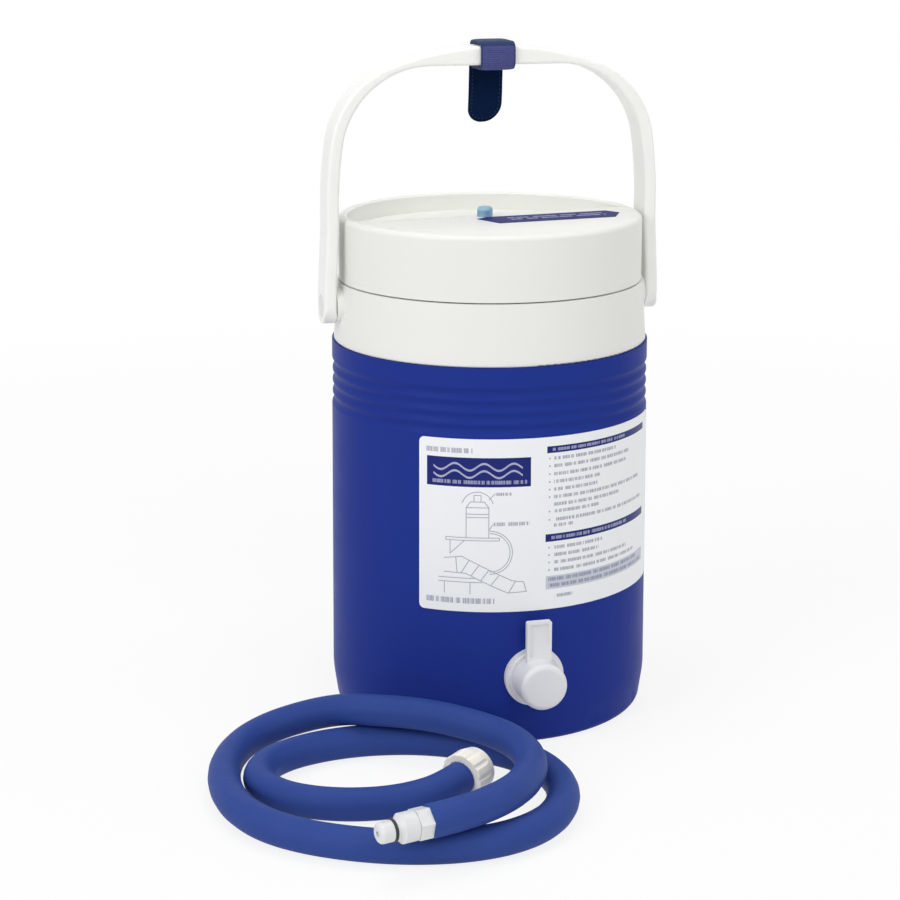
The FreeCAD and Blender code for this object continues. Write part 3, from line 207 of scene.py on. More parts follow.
class Finish:
    """A material whose Principled shader is fed by wires."""

    def __init__(self, name, ior=1.46, specular=0.5, sheen=0.0, sheen_roughness=0.5, coat_roughness=0.1):
        self.material = bpy.data.materials.new(name)
        self.material.use_nodes = True
        self.tree = self.material.node_tree
        self.shader = self.tree.nodes["Principled BSDF"]
        self.set("IOR", ior)
        self.set("Specular IOR Level", specular)
        self.set("Sheen Weight", sheen)
        self.set("Sheen Roughness", sheen_roughness)
        self.set("Coat Roughness", coat_roughness)
        self.place = self.node("ShaderNodeTexCoord", {}, {}, "Object")

    def node(self, kind, settings, inputs, output=0):
        """Adds any node: its settings first, then the values or wires of its sockets."""
        made = self.tree.nodes.new(kind)
        for key, setting in settings.items():
            setattr(made, key, setting)
        for key, given in inputs.items():
            if isinstance(given, Wire):
                self.tree.links.new(given.socket, made.inputs[key])
            else:
                made.inputs[key].default_value = given
        return Wire(self, made.outputs[output])

    def set(self, socket, given):
        """Feeds one socket of the shader."""
        if isinstance(given, Wire):
            self.tree.links.new(given.socket, self.shader.inputs[socket])
        else:
            self.shader.inputs[socket].default_value = given

    def axes(self):
        """The three coordinates of the place, as wires."""
        return [self.node("ShaderNodeSeparateXYZ", {}, {"Vector": self.place}, axis) for axis in "XYZ"]

    def turn_and_height(self):
        """Degrees round the jug from its front, and millimetres above the floor."""
        x, y, z = self.axes()
        turn = self.node("ShaderNodeMath", {"operation": "ARCTAN2"}, {0: x, 1: y * -1.0})
        return turn * (180 / math.pi), z * 1000.0

    def noise(self, scale, detail=2.0, stretch=(1, 1, 1)):
        """Soft cloudy values round a half; stretch packs them closer along an axis."""
        stretched = self.node("ShaderNodeVectorMath", {"operation": "MULTIPLY"},
                              {0: self.place, 1: stretch})
        return self.node("ShaderNodeTexNoise", {}, {"Vector": stretched, "Scale": scale, "Detail": detail})

    def line_noise(self, along, detail):
        """Cloudy values along one number only."""
        return self.node("ShaderNodeTexNoise", {"noise_dimensions": "1D"},
                         {"W": along, "Scale": 1.0, "Detail": detail})

    def mix(self, amount, first, second):
        """A colour between two others."""
        return self.node("ShaderNodeMix", {"data_type": "RGBA", "clamp_factor": True},
                         {"Factor": amount, "A": self.colour(first), "B": self.colour(second)}, "Result")

    @staticmethod
    def colour(given):
        return given if isinstance(given, Wire) else (*given, 1.0)

    def bump(self, height, depth, strength=1.0):
        """Raises the surface by height times depth, in metres."""
        self.set("Normal", self.node("ShaderNodeBump", {}, {"Height": height, "Distance": depth,
                                                           "Strength": strength}, "Normal"))


def wear(finish, *names):
    """Puts a finish on CAD nodes."""
    for name in names:
        mesh = nodes[name].data
        mesh.materials.clear()
        mesh.materials.append(finish.material)
    print(finish.material.name, "on", len(names), "pieces")


# %% [markdown]
# ## The blue shell
# The jug is blow-moulded polyethylene with a light gloss. The colour sits in the plastic, so it hardly
# varies, but a blown skin is never flat: it has a slow waviness, a fine parting line where the two halves of
# the mould met at the sides, and it is rubbed duller and paler round the foot. Noise on the roughness and a
# low bump give all of that without drawing anything.

# %% Blue shell
SHELL_BLUE = (0.0160, 0.0420, 0.2880)
SHELL_BLUE_DEEP = (0.0185, 0.0340, 0.2480)
SCUFFED_BLUE = (0.0260, 0.0560, 0.2600)
TOE_HEIGHT = 22.0

blue = Finish("moulded_blue_polyethylene", ior=1.33, specular=0.07)
turn, height = blue.turn_and_height()
parting = abs(turn).near(90.0, 0.35)
scuffs = (blue.noise(70.0, 4.0, (1, 1, 0.3)) > 0.62) * (TOE_HEIGHT - height).either(0.0) / TOE_HEIGHT
skin = blue.mix(blue.noise(9.0, 2.0), SHELL_BLUE, SHELL_BLUE_DEEP)
blue.set("Base Color", blue.mix(scuffs * 0.5 + parting * 0.12, skin, SCUFFED_BLUE))
blue.set("Roughness", 0.33 + blue.noise(55.0, 2.0) * 0.12 + scuffs * 0.2)
blue.bump(blue.noise(26.0, 1.0) + parting * 0.25 + blue.noise(700.0, 1.0) * 0.03, 0.0004, 0.35)
wear(blue, "outer_shell")

# %% [markdown]
# ## The white plastics
# Lid, collar, handle and outlet are injection-moulded in one warm white; the handle's copy of it is made
# lighter as painted light, and the outlet's is a little greyer and cooler, partly as painted shade. A moulded
# surface is not paper: it has a very fine spark-eroded grain, its gloss drifts from place to place, and the
# colour is a touch yellower in thick sections. All three are noises of quite different sizes, so that no
# pattern shows.

# %% White plastics
WARM_WHITE = (0.870, 0.875, 0.838)
THICK_WHITE = (0.825, 0.828, 0.790)
# The outlet's whites are a little greyer and cooler than the lid's: partly the fitting's own cooler tone,
# partly painted shade for the dimmer light low on the jug.
OUTLET_WHITE_AND_PAINTED_SHADE = (0.845, 0.845, 0.860)
OUTLET_DEEP_AND_PAINTED_SHADE = (0.795, 0.795, 0.815)


def moulded_white(name, grain, light=WARM_WHITE, deep=THICK_WHITE):
    """The warm white; grain is the number of grains in a metre."""
    finish = Finish(name, ior=1.47, specular=0.42)
    finish.set("Base Color", finish.mix(finish.noise(7.0, 3.0), light, deep))
    finish.set("Roughness", 0.36 + finish.noise(80.0, 2.0) * 0.12)
    finish.bump(finish.noise(grain, 2.0) + finish.noise(45.0, 1.0) * 2.0, 0.00005, 0.6)
    return finish


wear(moulded_white("warm_white_lid", 1400.0), "collar", "lid_shell")
wear(moulded_white("cool_white_and_painted_shade_outlet", 2200.0, OUTLET_WHITE_AND_PAINTED_SHADE, OUTLET_DEEP_AND_PAINTED_SHADE), "outlet_fitting", "outlet_cap")

# %% [markdown]
# ## The handle
# The handle is the warm white made lighter: painted light for the stronger light that falls on its top and
# front.
# It is a long thin moulding: the plastic ran up from both feet and met in the crown, so it carries faint flow
# lines along its length, and its edges are polished by hands. The flow lines are a noise that is stretched
# along the arc, read from the place's own angle about the pivots.

# %% Handle
PIVOT_HEIGHT = 0.2575
# Both handle whites are lighter than the lid's: painted light, because the handle's top and front catch more
# light.
HANDLE_WHITE_PAINTED_LIGHT = (0.945, 0.948, 0.915)
HANDLE_FLOW_PAINTED_LIGHT = (0.905, 0.908, 0.875)

handle_painted_light = Finish("handle_white_with_painted_light", ior=1.47, specular=0.45)
x, y, z = handle_painted_light.axes()
sweep = handle_painted_light.node("ShaderNodeMath", {"operation": "ARCTAN2"}, {0: z - PIVOT_HEIGHT, 1: x})
along = handle_painted_light.node("ShaderNodeCombineXYZ", {}, {"X": sweep * 6.0, "Y": y * 900.0, "Z": 0.0})
flow = handle_painted_light.node("ShaderNodeTexNoise", {}, {"Vector": along, "Scale": 1.0, "Detail": 2.0})
handle_painted_light.set("Base Color", handle_painted_light.mix(flow, HANDLE_WHITE_PAINTED_LIGHT, HANDLE_FLOW_PAINTED_LIGHT))
handle_painted_light.set("Roughness", 0.33 + flow * 0.10)
handle_painted_light.bump(flow * 0.6 + handle_painted_light.noise(1600.0, 2.0), 0.00005, 0.6)
wear(handle_painted_light, "handle")

# %% [markdown]
# ## The inner white and the fittings
# The liner, the lid's plug and the vent's tube are a cooler, plainer white with a slow waviness, as moulded
# walls have inside. The pins and the hose's hard fittings are turned or moulded small, so their colour drifts
# over a few millimetres and their grain is finer. Both finishes are the same small graph with other numbers.

# %% Inner white and fittings
INNER_WHITE, INNER_SHADE = (0.80, 0.82, 0.82), (0.75, 0.77, 0.78)
FITTING_WHITE, FITTING_SHADE = (0.80, 0.81, 0.81), (0.72, 0.73, 0.74)

inner_white = Finish("inner_white")
inner_white.set("Base Color", inner_white.mix(inner_white.noise(20.0), INNER_WHITE, INNER_SHADE))
inner_white.set("Roughness", 0.40 + inner_white.noise(120.0) * 0.1)
inner_white.bump(inner_white.noise(30.0, 1.0), 0.0003, 0.4)
wear(inner_white, "inner_liner", "lid_plug", "vent_tube")

fitting_white = Finish("fitting_white", ior=1.5)
fitting_white.set("Base Color", fitting_white.mix(fitting_white.noise(60.0), FITTING_WHITE, FITTING_SHADE))
fitting_white.set("Roughness", 0.30 + fitting_white.noise(200.0) * 0.12)
fitting_white.bump(fitting_white.noise(1800.0, 2.0), 0.00004, 0.6)
wear(fitting_white, "pivot_pin_left", "pivot_pin_right", "outlet_lock_nut", "nut_stem", "connector_ferrule",
     "connector_plug")

# %% [markdown]
# ## Small pieces
# The coupling nut is a creamier white than the rest, the vent's knob is a pale blue, the seals are black
# rubber, and a rigid foam fills the wall and the lid. Each gets a grain at its own scale.

# %% Small pieces
cream = Finish("cream_nut", ior=1.5)
cream.set("Base Color", cream.mix(cream.noise(45.0), (0.965, 0.925, 0.810), (0.975, 0.955, 0.880)))
cream.set("Roughness", 0.38 + cream.noise(150.0) * 0.12)
cream.bump(cream.noise(1800.0, 2.0), 0.00004, 0.6)
wear(cream, "coupling_nut")

rubber = Finish("seal_rubber", ior=1.5)
rubber.set("Base Color", rubber.mix(rubber.noise(160.0), (0.018, 0.018, 0.020), (0.035, 0.035, 0.038)))
rubber.set("Roughness", 0.55 + rubber.noise(300.0) * 0.2)
rubber.bump(rubber.noise(2400.0, 2.0), 0.00005, 0.5)
wear(rubber, "lid_gasket", "outlet_washer", "outlet_cap_seal", "vent_o_ring", "nut_washer",
     "connector_o_ring")

vent_blue = Finish("vent_knob_blue", ior=1.5)
vent_blue.set("Base Color", vent_blue.mix(vent_blue.noise(120.0), (0.31, 0.52, 0.68), (0.25, 0.45, 0.61)))
vent_blue.set("Roughness", 0.35 + vent_blue.noise(300.0) * 0.1)
vent_blue.bump(vent_blue.noise(2600.0, 2.0), 0.00004, 0.5)
wear(vent_blue, "vent_knob")

foam = Finish("rigid_foam")
foam.set("Base Color", foam.mix(foam.noise(220.0, 4.0), (0.78, 0.66, 0.36), (0.62, 0.50, 0.26)))
foam.set("Roughness", 0.85 + foam.noise(90.0) * 0.1)
foam.bump(foam.noise(500.0, 3.0), 0.0006)
wear(foam, "foam_insulation", "lid_foam")

# %% [markdown]
# ## The hose's sleeve
# The sleeve is closed-cell foam with a smooth drawn skin: nearly matte, a little lighter where it is
# stretched, with tiny pores and slow dents. Object coordinates are enough for the pores, because they have no
# direction.

# %% Hose finish
SLEEVE_BLUE = (0.027, 0.060, 0.262)
SLEEVE_BLUE_WORN = (0.038, 0.076, 0.300)

sleeve = Finish("foam_sleeve_blue", ior=1.36, specular=0.15)
sleeve.set("Base Color", sleeve.mix(sleeve.noise(24.0, 3.0), SLEEVE_BLUE, SLEEVE_BLUE_WORN))
sleeve.set("Roughness", 0.46 + sleeve.noise(300.0, 2.0) * 0.16)
sleeve.bump(sleeve.noise(1300.0, 3.0) + sleeve.noise(160.0, 1.0), 0.00012, 0.55)
hose_curve.materials.append(sleeve.material)
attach(hose, "jug")
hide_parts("hose")

# %% [markdown]
# ## The printed label
# The label is a thin film wrapped round the shell. Printing follows the surface, so its finish works in
# degrees round the jug and in millimetres above the floor. A title panel with two waves, heading bars, rows
# of short strokes and a plain line drawing of a jug and its hose stand in for the printing: they have its
# layout and weight, and no words.

# %% Label layout
LABEL_PAPER = (0.905, 0.930, 0.945)
LABEL_PAPER_CLOUD = (0.925, 0.940, 0.940)
LABEL_NAVY = (0.0100, 0.0180, 0.1650)
LABEL_TINT = (0.500, 0.530, 0.640)
LABEL_INK = (0.130, 0.145, 0.260)
LABEL_LIGHT = (0.560, 0.570, 0.760)
NAVY_PANELS = [(-37.9, -1.6, 162.5, 180.2), (4.2, 57.0, 181.7, 185.8), (3.8, 57.0, 127.5, 132.2)]
HEADING_ROWS = [(6.0, 40.0, 183.75, 0.9), (6.0, 42.0, 129.85, 1.0), (-36.0, -3.0, 165.4, 1.1)]
SMALL_ROWS = [
    (-38.1, -21.7, 184.4, 1.5), (-38.1, -14.1, 92.5, 1.7), (-13.8, -8.4, 158.3, 0.9),
    (-14.5, -1.9, 140.0, 1.1),
    (6.8, 34.4, 178.4, 1.0), (6.8, 43.0, 173.8, 1.0), (6.8, 40.9, 168.9, 1.0), (6.8, 26.2, 164.2, 1.0),
    (6.8, 25.5, 159.5, 1.0), (6.8, 51.7, 154.9, 1.0), (6.8, 36.5, 150.3, 1.0), (6.8, 25.6, 146.1, 1.0),
    (6.8, 54.7, 141.0, 1.0), (6.8, 14.3, 137.4, 1.0), (7.1, 27.6, 123.8, 1.0), (7.1, 25.9, 119.2, 1.0),
    (7.1, 41.7, 114.6, 1.0), (7.1, 47.6, 109.9, 1.0), (5.0, 50.0, 104.2, 1.1), (5.0, 55.0, 100.3, 1.1),
    (7.3, 14.6, 93.6, 1.0),
]
BULLET_HEIGHTS = (178.4, 173.8, 168.9, 164.2, 159.5, 154.9, 146.1, 141.0, 123.8, 119.2, 114.6, 109.9)

label = Finish("label_film", ior=1.4, specular=0.25)
turn, height = label.turn_and_height()


def panel(left, right, low, high):
    """1 inside a rectangle given in degrees and millimetres."""
    return turn.between(left, right) * height.between(low, high)


def row_of_strokes(left, right, middle, tall):
    """One line of small print seen from afar: words of uneven length, made of strokes too fine to read."""
    words = label.line_noise(turn * 0.75 + middle, 1.0)
    strokes = label.line_noise(turn * 3.2 + middle, 2.0)
    weight = ((strokes - 0.28) * 3.0).either(0.25).at_most(1.0)
    return turn.between(left, right) * height.near(middle, tall) * (words > 0.40) * weight


def all_of(masks):
    """The masks laid over each other."""
    masks = iter(masks)
    total = next(masks)
    for mask in masks:
        total = total.either(mask)
    return total


print("rows of print:", len(SMALL_ROWS) + len(HEADING_ROWS))

# %% [markdown]
# The drawing is made of lines and rings that are masks too: a line is everything within half its width of a
# segment, and a ring everything within half its width of a circle. The measure across the label is taken in
# millimetres, so that circles stay round.

# %% Label drawing
MM_PER_DEGREE = 99.0 * math.pi / 180
across = turn * MM_PER_DEGREE


def drawn_line(start, end, width=0.5):
    """A straight line between two points (degrees, millimetres)."""
    x0, y0, x1, y1 = start[0] * MM_PER_DEGREE, start[1], end[0] * MM_PER_DEGREE, end[1]
    length = math.hypot(x1 - x0, y1 - y0)
    ux, uy = (x1 - x0) / length, (y1 - y0) / length
    run = (across - x0) * ux + (height - y0) * uy
    off = (across - x0) * -uy + (height - y0) * ux
    return run.between(-width / 2, length + width / 2) * off.near(0.0, width / 2)


def drawn_ring(centre, radius, sides, heights, width=0.5):
    """The part of a circle that lies between two angles round the jug and two heights."""
    dx, dy = across - centre[0] * MM_PER_DEGREE, height - centre[1]
    reach = (dx * dx + dy * dy).math("SQRT")
    return reach.near(radius, width / 2) * turn.between(*sides) * height.between(*heights)


def drawn_path(*corners):
    """Straight lines from corner to corner."""
    return [drawn_line(a, b) for a, b in zip(corners, corners[1:])]


jug_drawing = (
    drawn_path((-23.9, 150.0), (-23.9, 131.5), (-16.1, 131.5), (-16.1, 150.0), (-23.9, 150.0), (-22.4, 153.5),
               (-17.6, 153.5), (-16.1, 150.0))
    + drawn_path((-23.9, 144.0), (-16.1, 144.0)) + drawn_path((-23.9, 146.0), (-16.1, 146.0))
    + drawn_path((-21.2, 153.5), (-21.2, 157.5), (-18.8, 157.5), (-18.8, 153.5))
    + [drawn_ring((-20.0, 150.0), 9.5, (-30, -10), (152.5, 170.0))])
shelf_drawing = (drawn_path((-31.0, 131.5), (-12.5, 131.5), (-12.5, 129.8), (-31.0, 129.8), (-31.0, 131.5))
                 + drawn_path((-29.5, 129.8), (-29.5, 121.5), (-24.5, 129.8)))
hose_drawing = [drawn_ring((-15.6, 122.5), radius, (-15.8, 0), (104, 140)) for radius in (13.2, 11.8)]
wrap_drawing = (
    drawn_path((-31.5, 118.5), (-25.5, 120.0), (-8.0, 105.0), (-4.0, 104.0), (-3.0, 98.0), (-9.5, 97.5),
               (-14.0, 101.0), (-24.0, 109.5), (-31.5, 110.0))
    + [line for left, right in (((-27.5, 119.5), (-27.0, 109.8)), ((-22.8, 117.7), (-25.6, 109.7)),
                                ((-19.4, 114.8), (-22.2, 108.0)), ((-16.0, 111.9), (-18.8, 105.1)),
                                ((-12.4, 108.8), (-15.4, 102.2)), ((-6.8, 104.7), (-9.2, 97.5)))
       for line in drawn_path(left, right)])
bench_drawing = (drawn_path((-33.5, 106.5), (-21.0, 106.5)) + drawn_path((-33.5, 104.0), (-18.5, 104.0))
                 + [line for left in (-31.5, -22.5) for line in drawn_path((left, 104.0), (left, 97.0))])
leaders = drawn_path((-16.0, 155.0), (-14.2, 158.3)) + drawn_path((-16.1, 136.0), (-14.8, 139.6))
drawn_marks = jug_drawing + shelf_drawing + hose_drawing + wrap_drawing + bench_drawing + leaders
drawing = all_of(drawn_marks)
print("lines in the drawing:", len(drawn_marks))

# %% [markdown]
# The masks are now laid over the paper like inks, one after the other: the pale tint, the drawing, the small
# print, the navy panels, and last the light marks inside the panels. The paper itself has a slight cloud in
# its colour, and the panels stand up by a few hundredths of a millimetre, so that they catch the light.

# %% Label finish
navy = all_of(panel(*edges) for edges in NAVY_PANELS)
tint = panel(4.0, 57.0, 98.0, 106.3)
waves = all_of((height - middle - (turn * 0.62).wave() * 2.1).near(0.0, 0.62) * turn.between(-35.5, -4.5)
               for middle in (170.2, 174.6))
light = all_of([waves] + [row_of_strokes(*row) for row in HEADING_ROWS])
bullets = all_of(height.near(middle, 0.45) for middle in BULLET_HEIGHTS) * turn.near(5.2, 0.25)
ink = all_of([row_of_strokes(*row) for row in SMALL_ROWS]).either(bullets)
paper = label.mix(label.noise(40.0, 2.0), LABEL_PAPER, LABEL_PAPER_CLOUD)
printed = label.mix(tint * 0.75, paper, LABEL_TINT)
printed = label.mix(drawing * 0.68, printed, LABEL_INK)
printed = label.mix(ink * 0.80, printed, LABEL_INK)
printed = label.mix(navy, printed, LABEL_NAVY)
label.set("Base Color", label.mix(light * 0.75, printed, LABEL_LIGHT))
label.set("Roughness", 0.34 + label.noise(80.0) * 0.08 - navy * 0.05)
label.bump(navy * 0.4 + label.noise(300.0, 2.0) * 0.5, 0.00003, 0.5)
wear(label, "instruction_label")

# %% [markdown]
# The strip on the lid is a navy foil with two rows of pale marks, made as the label's rows are. It lies
# turned with the lid, so its own directions are the floor's, turned by the same five degrees.

# %% Lid strip
LID_TURN = math.radians(5.0)
STRIP_NAVY, STRIP_MARK = (0.008, 0.011, 0.125), (0.46, 0.48, 0.68)
STRIP_ROWS = (-19.6, -25.4)

strip = Finish("navy_foil_strip", ior=1.35, specular=0.2)
x, y, z = strip.axes()
run = (x * math.cos(LID_TURN) + y * math.sin(LID_TURN)) * 1000.0
rise = (y * math.cos(LID_TURN) - x * math.sin(LID_TURN)) * 1000.0


def strip_row(middle):
    """One row of pale marks along the strip."""
    words = strip.line_noise(run * 0.22 + middle, 1.0)
    strokes = strip.line_noise(run * 1.3 + middle, 2.0)
    return rise.near(middle, 1.7) * (words > 0.41) * ((strokes - 0.30) * 4.0).either(0.35).at_most(1.0)


marks = all_of(strip_row(middle) for middle in STRIP_ROWS) * run.between(4.0, 66.0)
strip.set("Base Color", strip.mix(marks * 0.7, STRIP_NAVY, STRIP_MARK))
strip.set("Roughness", 0.50 + strip.noise(90.0) * 0.1)
strip.bump(strip.noise(400.0, 2.0), 0.00003, 0.5)
wear(strip, "lid_strip")

# %% [markdown]
# ## Modelling a new piece
# New pieces are started from a Blender primitive and then worked in Edit Mode. Three small helpers keep the
# steps readable: one starts a piece, one picks its faces or edges by a rule, and one finishes it, so that its
# faces look outwards, its edges are smooth up to an angle and its origin is the object's own.

# %% Modelling helpers
MM = 0.001


def start_piece(name, add, **settings):
    """Adds a primitive as a piece of its own and opens it in Edit Mode."""
    bpy.ops.object.select_all(action="DESELECT")
    add(**settings)
    piece = bpy.context.object
    piece.name = name
    bpy.ops.object.transform_apply(location=True, rotation=True, scale=True)
    bpy.ops.object.mode_set(mode="EDIT")
    return piece


def pick(piece, kind, rule):
    """Selects the vertices, edges or faces that the rule accepts, and returns how many."""
    bpy.ops.object.mode_set(mode="OBJECT")
    mesh = piece.data
    for part in (*mesh.vertices, *mesh.edges, *mesh.polygons):
        part.select = False
    chosen = [part for part in getattr(mesh, kind) if rule(part)]
    for part in chosen:
        part.select = True
    bpy.ops.object.mode_set(mode="EDIT")
    bpy.ops.mesh.select_mode(type={"vertices": "VERT", "edges": "EDGE", "polygons": "FACE"}[kind])
    return len(chosen)


def apply_modifiers(piece, **modifiers):
    """Applies modifiers in order; each is given as its type and its settings."""
    for kind, settings in modifiers.items():
        modifier = piece.modifiers.new(kind, kind)
        for key, setting in settings.items():
            setattr(modifier, key, setting)
        bpy.ops.object.modifier_apply(modifier=modifier.name)


def finish_piece(piece, finish, body, smooth=40.0):
    """Turns the faces outwards, smooths edges below an angle, and gives the piece its finish and body."""
    bpy.ops.object.mode_set(mode="EDIT")
    bpy.ops.mesh.select_all(action="SELECT")
    bpy.ops.mesh.normals_make_consistent(inside=False)
    bpy.ops.object.mode_set(mode="OBJECT")
    bpy.ops.object.select_all(action="DESELECT")
    piece.select_set(True)
    bpy.context.view_layer.objects.active = piece
    bpy.ops.object.transform_apply(location=True, rotation=True, scale=True)
    bpy.ops.object.shade_smooth_by_angle(angle=math.radians(smooth))
    piece.data.materials.clear()
    piece.data.materials.append(finish.material)
    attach(piece, body)
    print(piece.name, "has", len(piece.data.polygons), "faces")


# %% [markdown]
# ## The vent's knob
# The knob is a small turned grip: a foot disc, a thin waist and a thicker button that two fingers pull. It is
# made like turned work, by pushing one ring of edges up and in or out, step after step. The button's side is
# then fluted: half of its faces, those with even numbers, are pushed in a little. Blender doesn't number them
# in order round the knob, nor the same in every run, so the flutes lie in uneven runs and can change places.

# %% Vent knob
low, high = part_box("vent_knob")
KNOB_CENTRE = ((low[0] + high[0]) / 2, (low[1] + high[1]) / 2)
KNOB_BASE, KNOB_TOP = low[2], high[2]
KNOB_RADIUS = (high[0] - low[0]) / 2
KNOB_SIDES = 48
FLUTE_EDGE, FLUTE_DEPTH = 0.06 * MM, 0.22 * MM
KNOB_STEPS = [(1.00, 0.16), (0.94, 0.20), (0.70, 0.24), (0.66, 0.40), (0.72, 0.47), (0.93, 0.50),
              (0.985, 0.54), (0.985, 0.86), (0.93, 0.93), (0.80, 0.975), (0.45, 1.00)]

knob = start_piece("vent_knob_turned", bpy.ops.mesh.primitive_circle_add, vertices=KNOB_SIDES,
                   radius=KNOB_RADIUS, fill_type="NGON", location=(*KNOB_CENTRE, KNOB_BASE))
bpy.ops.mesh.select_all(action="SELECT")
reach, height_now = 1.0, 0.0
for share, rise in KNOB_STEPS:
    bpy.ops.mesh.extrude_region_move(TRANSFORM_OT_translate={
        "value": (0, 0, (rise - height_now) * (KNOB_TOP - KNOB_BASE))})
    bpy.ops.transform.resize(value=(share / reach, share / reach, 1), center_override=(*KNOB_CENTRE, 0))
    reach, height_now = share, rise
flutes = pick(knob, "polygons", lambda face: abs(face.normal.z) < 0.1
              and (face.center.z - KNOB_BASE) / (KNOB_TOP - KNOB_BASE) > 0.6 and face.index % 2 == 0)
bpy.ops.mesh.inset(thickness=FLUTE_EDGE, depth=-FLUTE_DEPTH, use_individual=True)
print("flutes cut:", flutes)
finish_piece(knob, vent_blue, "vent")
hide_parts("vent_knob")

# %% [markdown]
# ## The strap
# A strap of webbing is wrapped once round the crown of the handle, and its free end hangs behind. Webbing is
# flat before it is wrapped, so it is modelled that way: a finely divided flat strip, bent round a closed
# curve with the grip's section, and only then given its thickness. Its own UV map keeps the run of the weave.

# %% Strap finishes
WEFT_RIBS = 62
WARP_LINES = 15
# Share of the slate strap's length that is a darker plain navy, round the upper back and the top of the grip.
DARK_TOP_SHARE = 0.385
TONGUE_RIBS, TONGUE_LINES = 34, 13
DARK_TOP_NAVY, DARK_TOP_LIGHT = (0.018, 0.034, 0.098), (0.036, 0.060, 0.160)


def woven(name, light, dark, dark_share, gloss, sheen, ribs, lines):
    """Webbing: ribs across its width and finer lines along it, from the piece's own UV map.

    The ribbed pile covers only the part beyond the given share of its length; before it the webbing is a
    darker plain navy, which lies round the upper back and the top of the grip."""
    finish = Finish(name, ior=1.4, specular=gloss, sheen=sheen, sheen_roughness=0.45)
    uv = finish.node("ShaderNodeTexCoord", {}, {}, "UV")
    along, across, _ = (finish.node("ShaderNodeSeparateXYZ", {}, {"Vector": uv}, axis) for axis in "XYZ")
    rib = abs((along * (ribs * math.pi) + (across * (lines * math.pi)).wave() * 0.4).wave())
    fuzz = finish.noise(900.0, 3.0)
    selvedge = abs(across - 0.5) > 0.45
    pile = finish.mix(rib * 0.35 + fuzz * 0.65 - selvedge * 0.6, dark, light)
    flat_version = finish.mix(fuzz, DARK_TOP_NAVY, DARK_TOP_LIGHT)
    finish.set("Base Color", finish.mix(along < dark_share, pile, flat_version))
    finish.set("Roughness", 0.62 + fuzz * 0.2)
    finish.bump(rib * 0.8 + fuzz * 0.6 + selvedge * 0.5, 0.00022, 0.8)
    return finish


webbing = woven("slate_webbing", (0.098, 0.108, 0.300), (0.034, 0.043, 0.140), DARK_TOP_SHARE,
                0.12, 0.08, WEFT_RIBS, WARP_LINES)
navy_webbing = woven("navy_webbing", (0.0040, 0.0170, 0.0640), (0.0015, 0.0080, 0.0330), 0.0,
                     0.05, 0.0, TONGUE_RIBS, TONGUE_LINES)
thread = Finish("sewing_thread", specular=0.3, sheen=0.2)
thread.set("Base Color", thread.mix(thread.noise(1500.0), (0.030, 0.040, 0.130), (0.060, 0.075, 0.210)))
thread.set("Roughness", 0.60 + thread.noise(2500.0) * 0.15)
thread.bump(thread.noise(5000.0, 2.0), 0.00006, 0.6)
print("strap finishes made")

# %% [markdown]
# The closed curve is drawn flat, as the outline that webbing takes round the grip: a rectangle with well
# rounded corners. The strip is as long as that outline, less a hair, so that its two ends meet at the back
# behind the free end. After bending, the whole piece is turned upright.

# %% Strap outline
band_low, band_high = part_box("hang_strap")
BAND_THICK = 1.9 * MM
BAND_CORNER = 5.6 * MM
CORNER_STEPS = 8
EDGE_ROLL = 0.06
EDGE_ROLL_POWER = 5
band_middle = [(a + b) / 2 for a, b in zip(band_low, band_high)]
band_half_deep = (band_high[1] - band_low[1]) / 2 - 0.3 * MM
band_half_tall = (band_high[2] - band_low[2]) / 2 - 0.3 * MM


def rounded_loop(half_tall, half_wide, corner):
    """The points of a closed rounded rectangle, starting in the middle of one wide side."""
    loop = [(0.0, half_wide)]
    for quarter, (sx, sy) in enumerate(((-1, 1), (-1, -1), (1, -1), (1, 1)), start=1):
        for step in range(CORNER_STEPS + 1):
            angle = math.pi / 2 * (quarter + step / CORNER_STEPS)
            loop.append((sx * (half_tall - corner) + corner * math.cos(angle),
                         sy * (half_wide - corner) + corner * math.sin(angle)))
    return loop


outline = rounded_loop(band_half_tall, band_half_deep, BAND_CORNER)
outline_length = sum(math.dist(a, b) for a, b in zip(outline, outline[1:] + outline[:1]))
wrap = bpy.data.curves.new("strap_wrap", "CURVE")
wrap.dimensions = "2D"
wrap_line = wrap.splines.new("POLY")
wrap_line.points.add(len(outline) - 1)
for point, place in zip(wrap_line.points, outline):
    point.co = (*place, 0.0, 1.0)
wrap_line.use_cyclic_u = True
wrap_object = bpy.data.objects.new("strap_wrap", wrap)
scene.collection.objects.link(wrap_object)
print("strap outline %.1f mm" % (outline_length / MM))

# %% [markdown]
# The strip is a finely divided grid, so that it can bend. A Curve modifier wraps it round the outline, and
# Solidify then gives it its thickness on the inner side. Webbing pulls in a little at its two woven edges, so
# the points near them are drawn towards the middle before that.

# %% Strap band
band = start_piece("strap_band", bpy.ops.mesh.primitive_grid_add,
                   x_subdivisions=180, y_subdivisions=16, size=1.0)
bpy.ops.mesh.select_all(action="SELECT")
bpy.ops.transform.resize(value=(outline_length * 0.995, band_high[0] - band_low[0] - 0.3 * MM, 1))
bpy.ops.transform.rotate(value=math.pi / 2, orient_axis="X", center_override=(0, 0, 0))
bpy.ops.transform.translate(value=(outline_length / 2, 0, 0))
bpy.ops.object.mode_set(mode="OBJECT")
apply_modifiers(band, CURVE={"object": wrap_object, "deform_axis": "POS_X"})
bpy.data.objects.remove(wrap_object)
bpy.ops.object.mode_set(mode="EDIT")
bpy.ops.mesh.select_all(action="SELECT")
bpy.ops.transform.rotate(value=math.pi / 2, orient_axis="Y", center_override=(0, 0, 0))
bpy.ops.transform.translate(value=band_middle)
bpy.ops.object.mode_set(mode="OBJECT")
half_width = (band_high[0] - band_low[0]) / 2
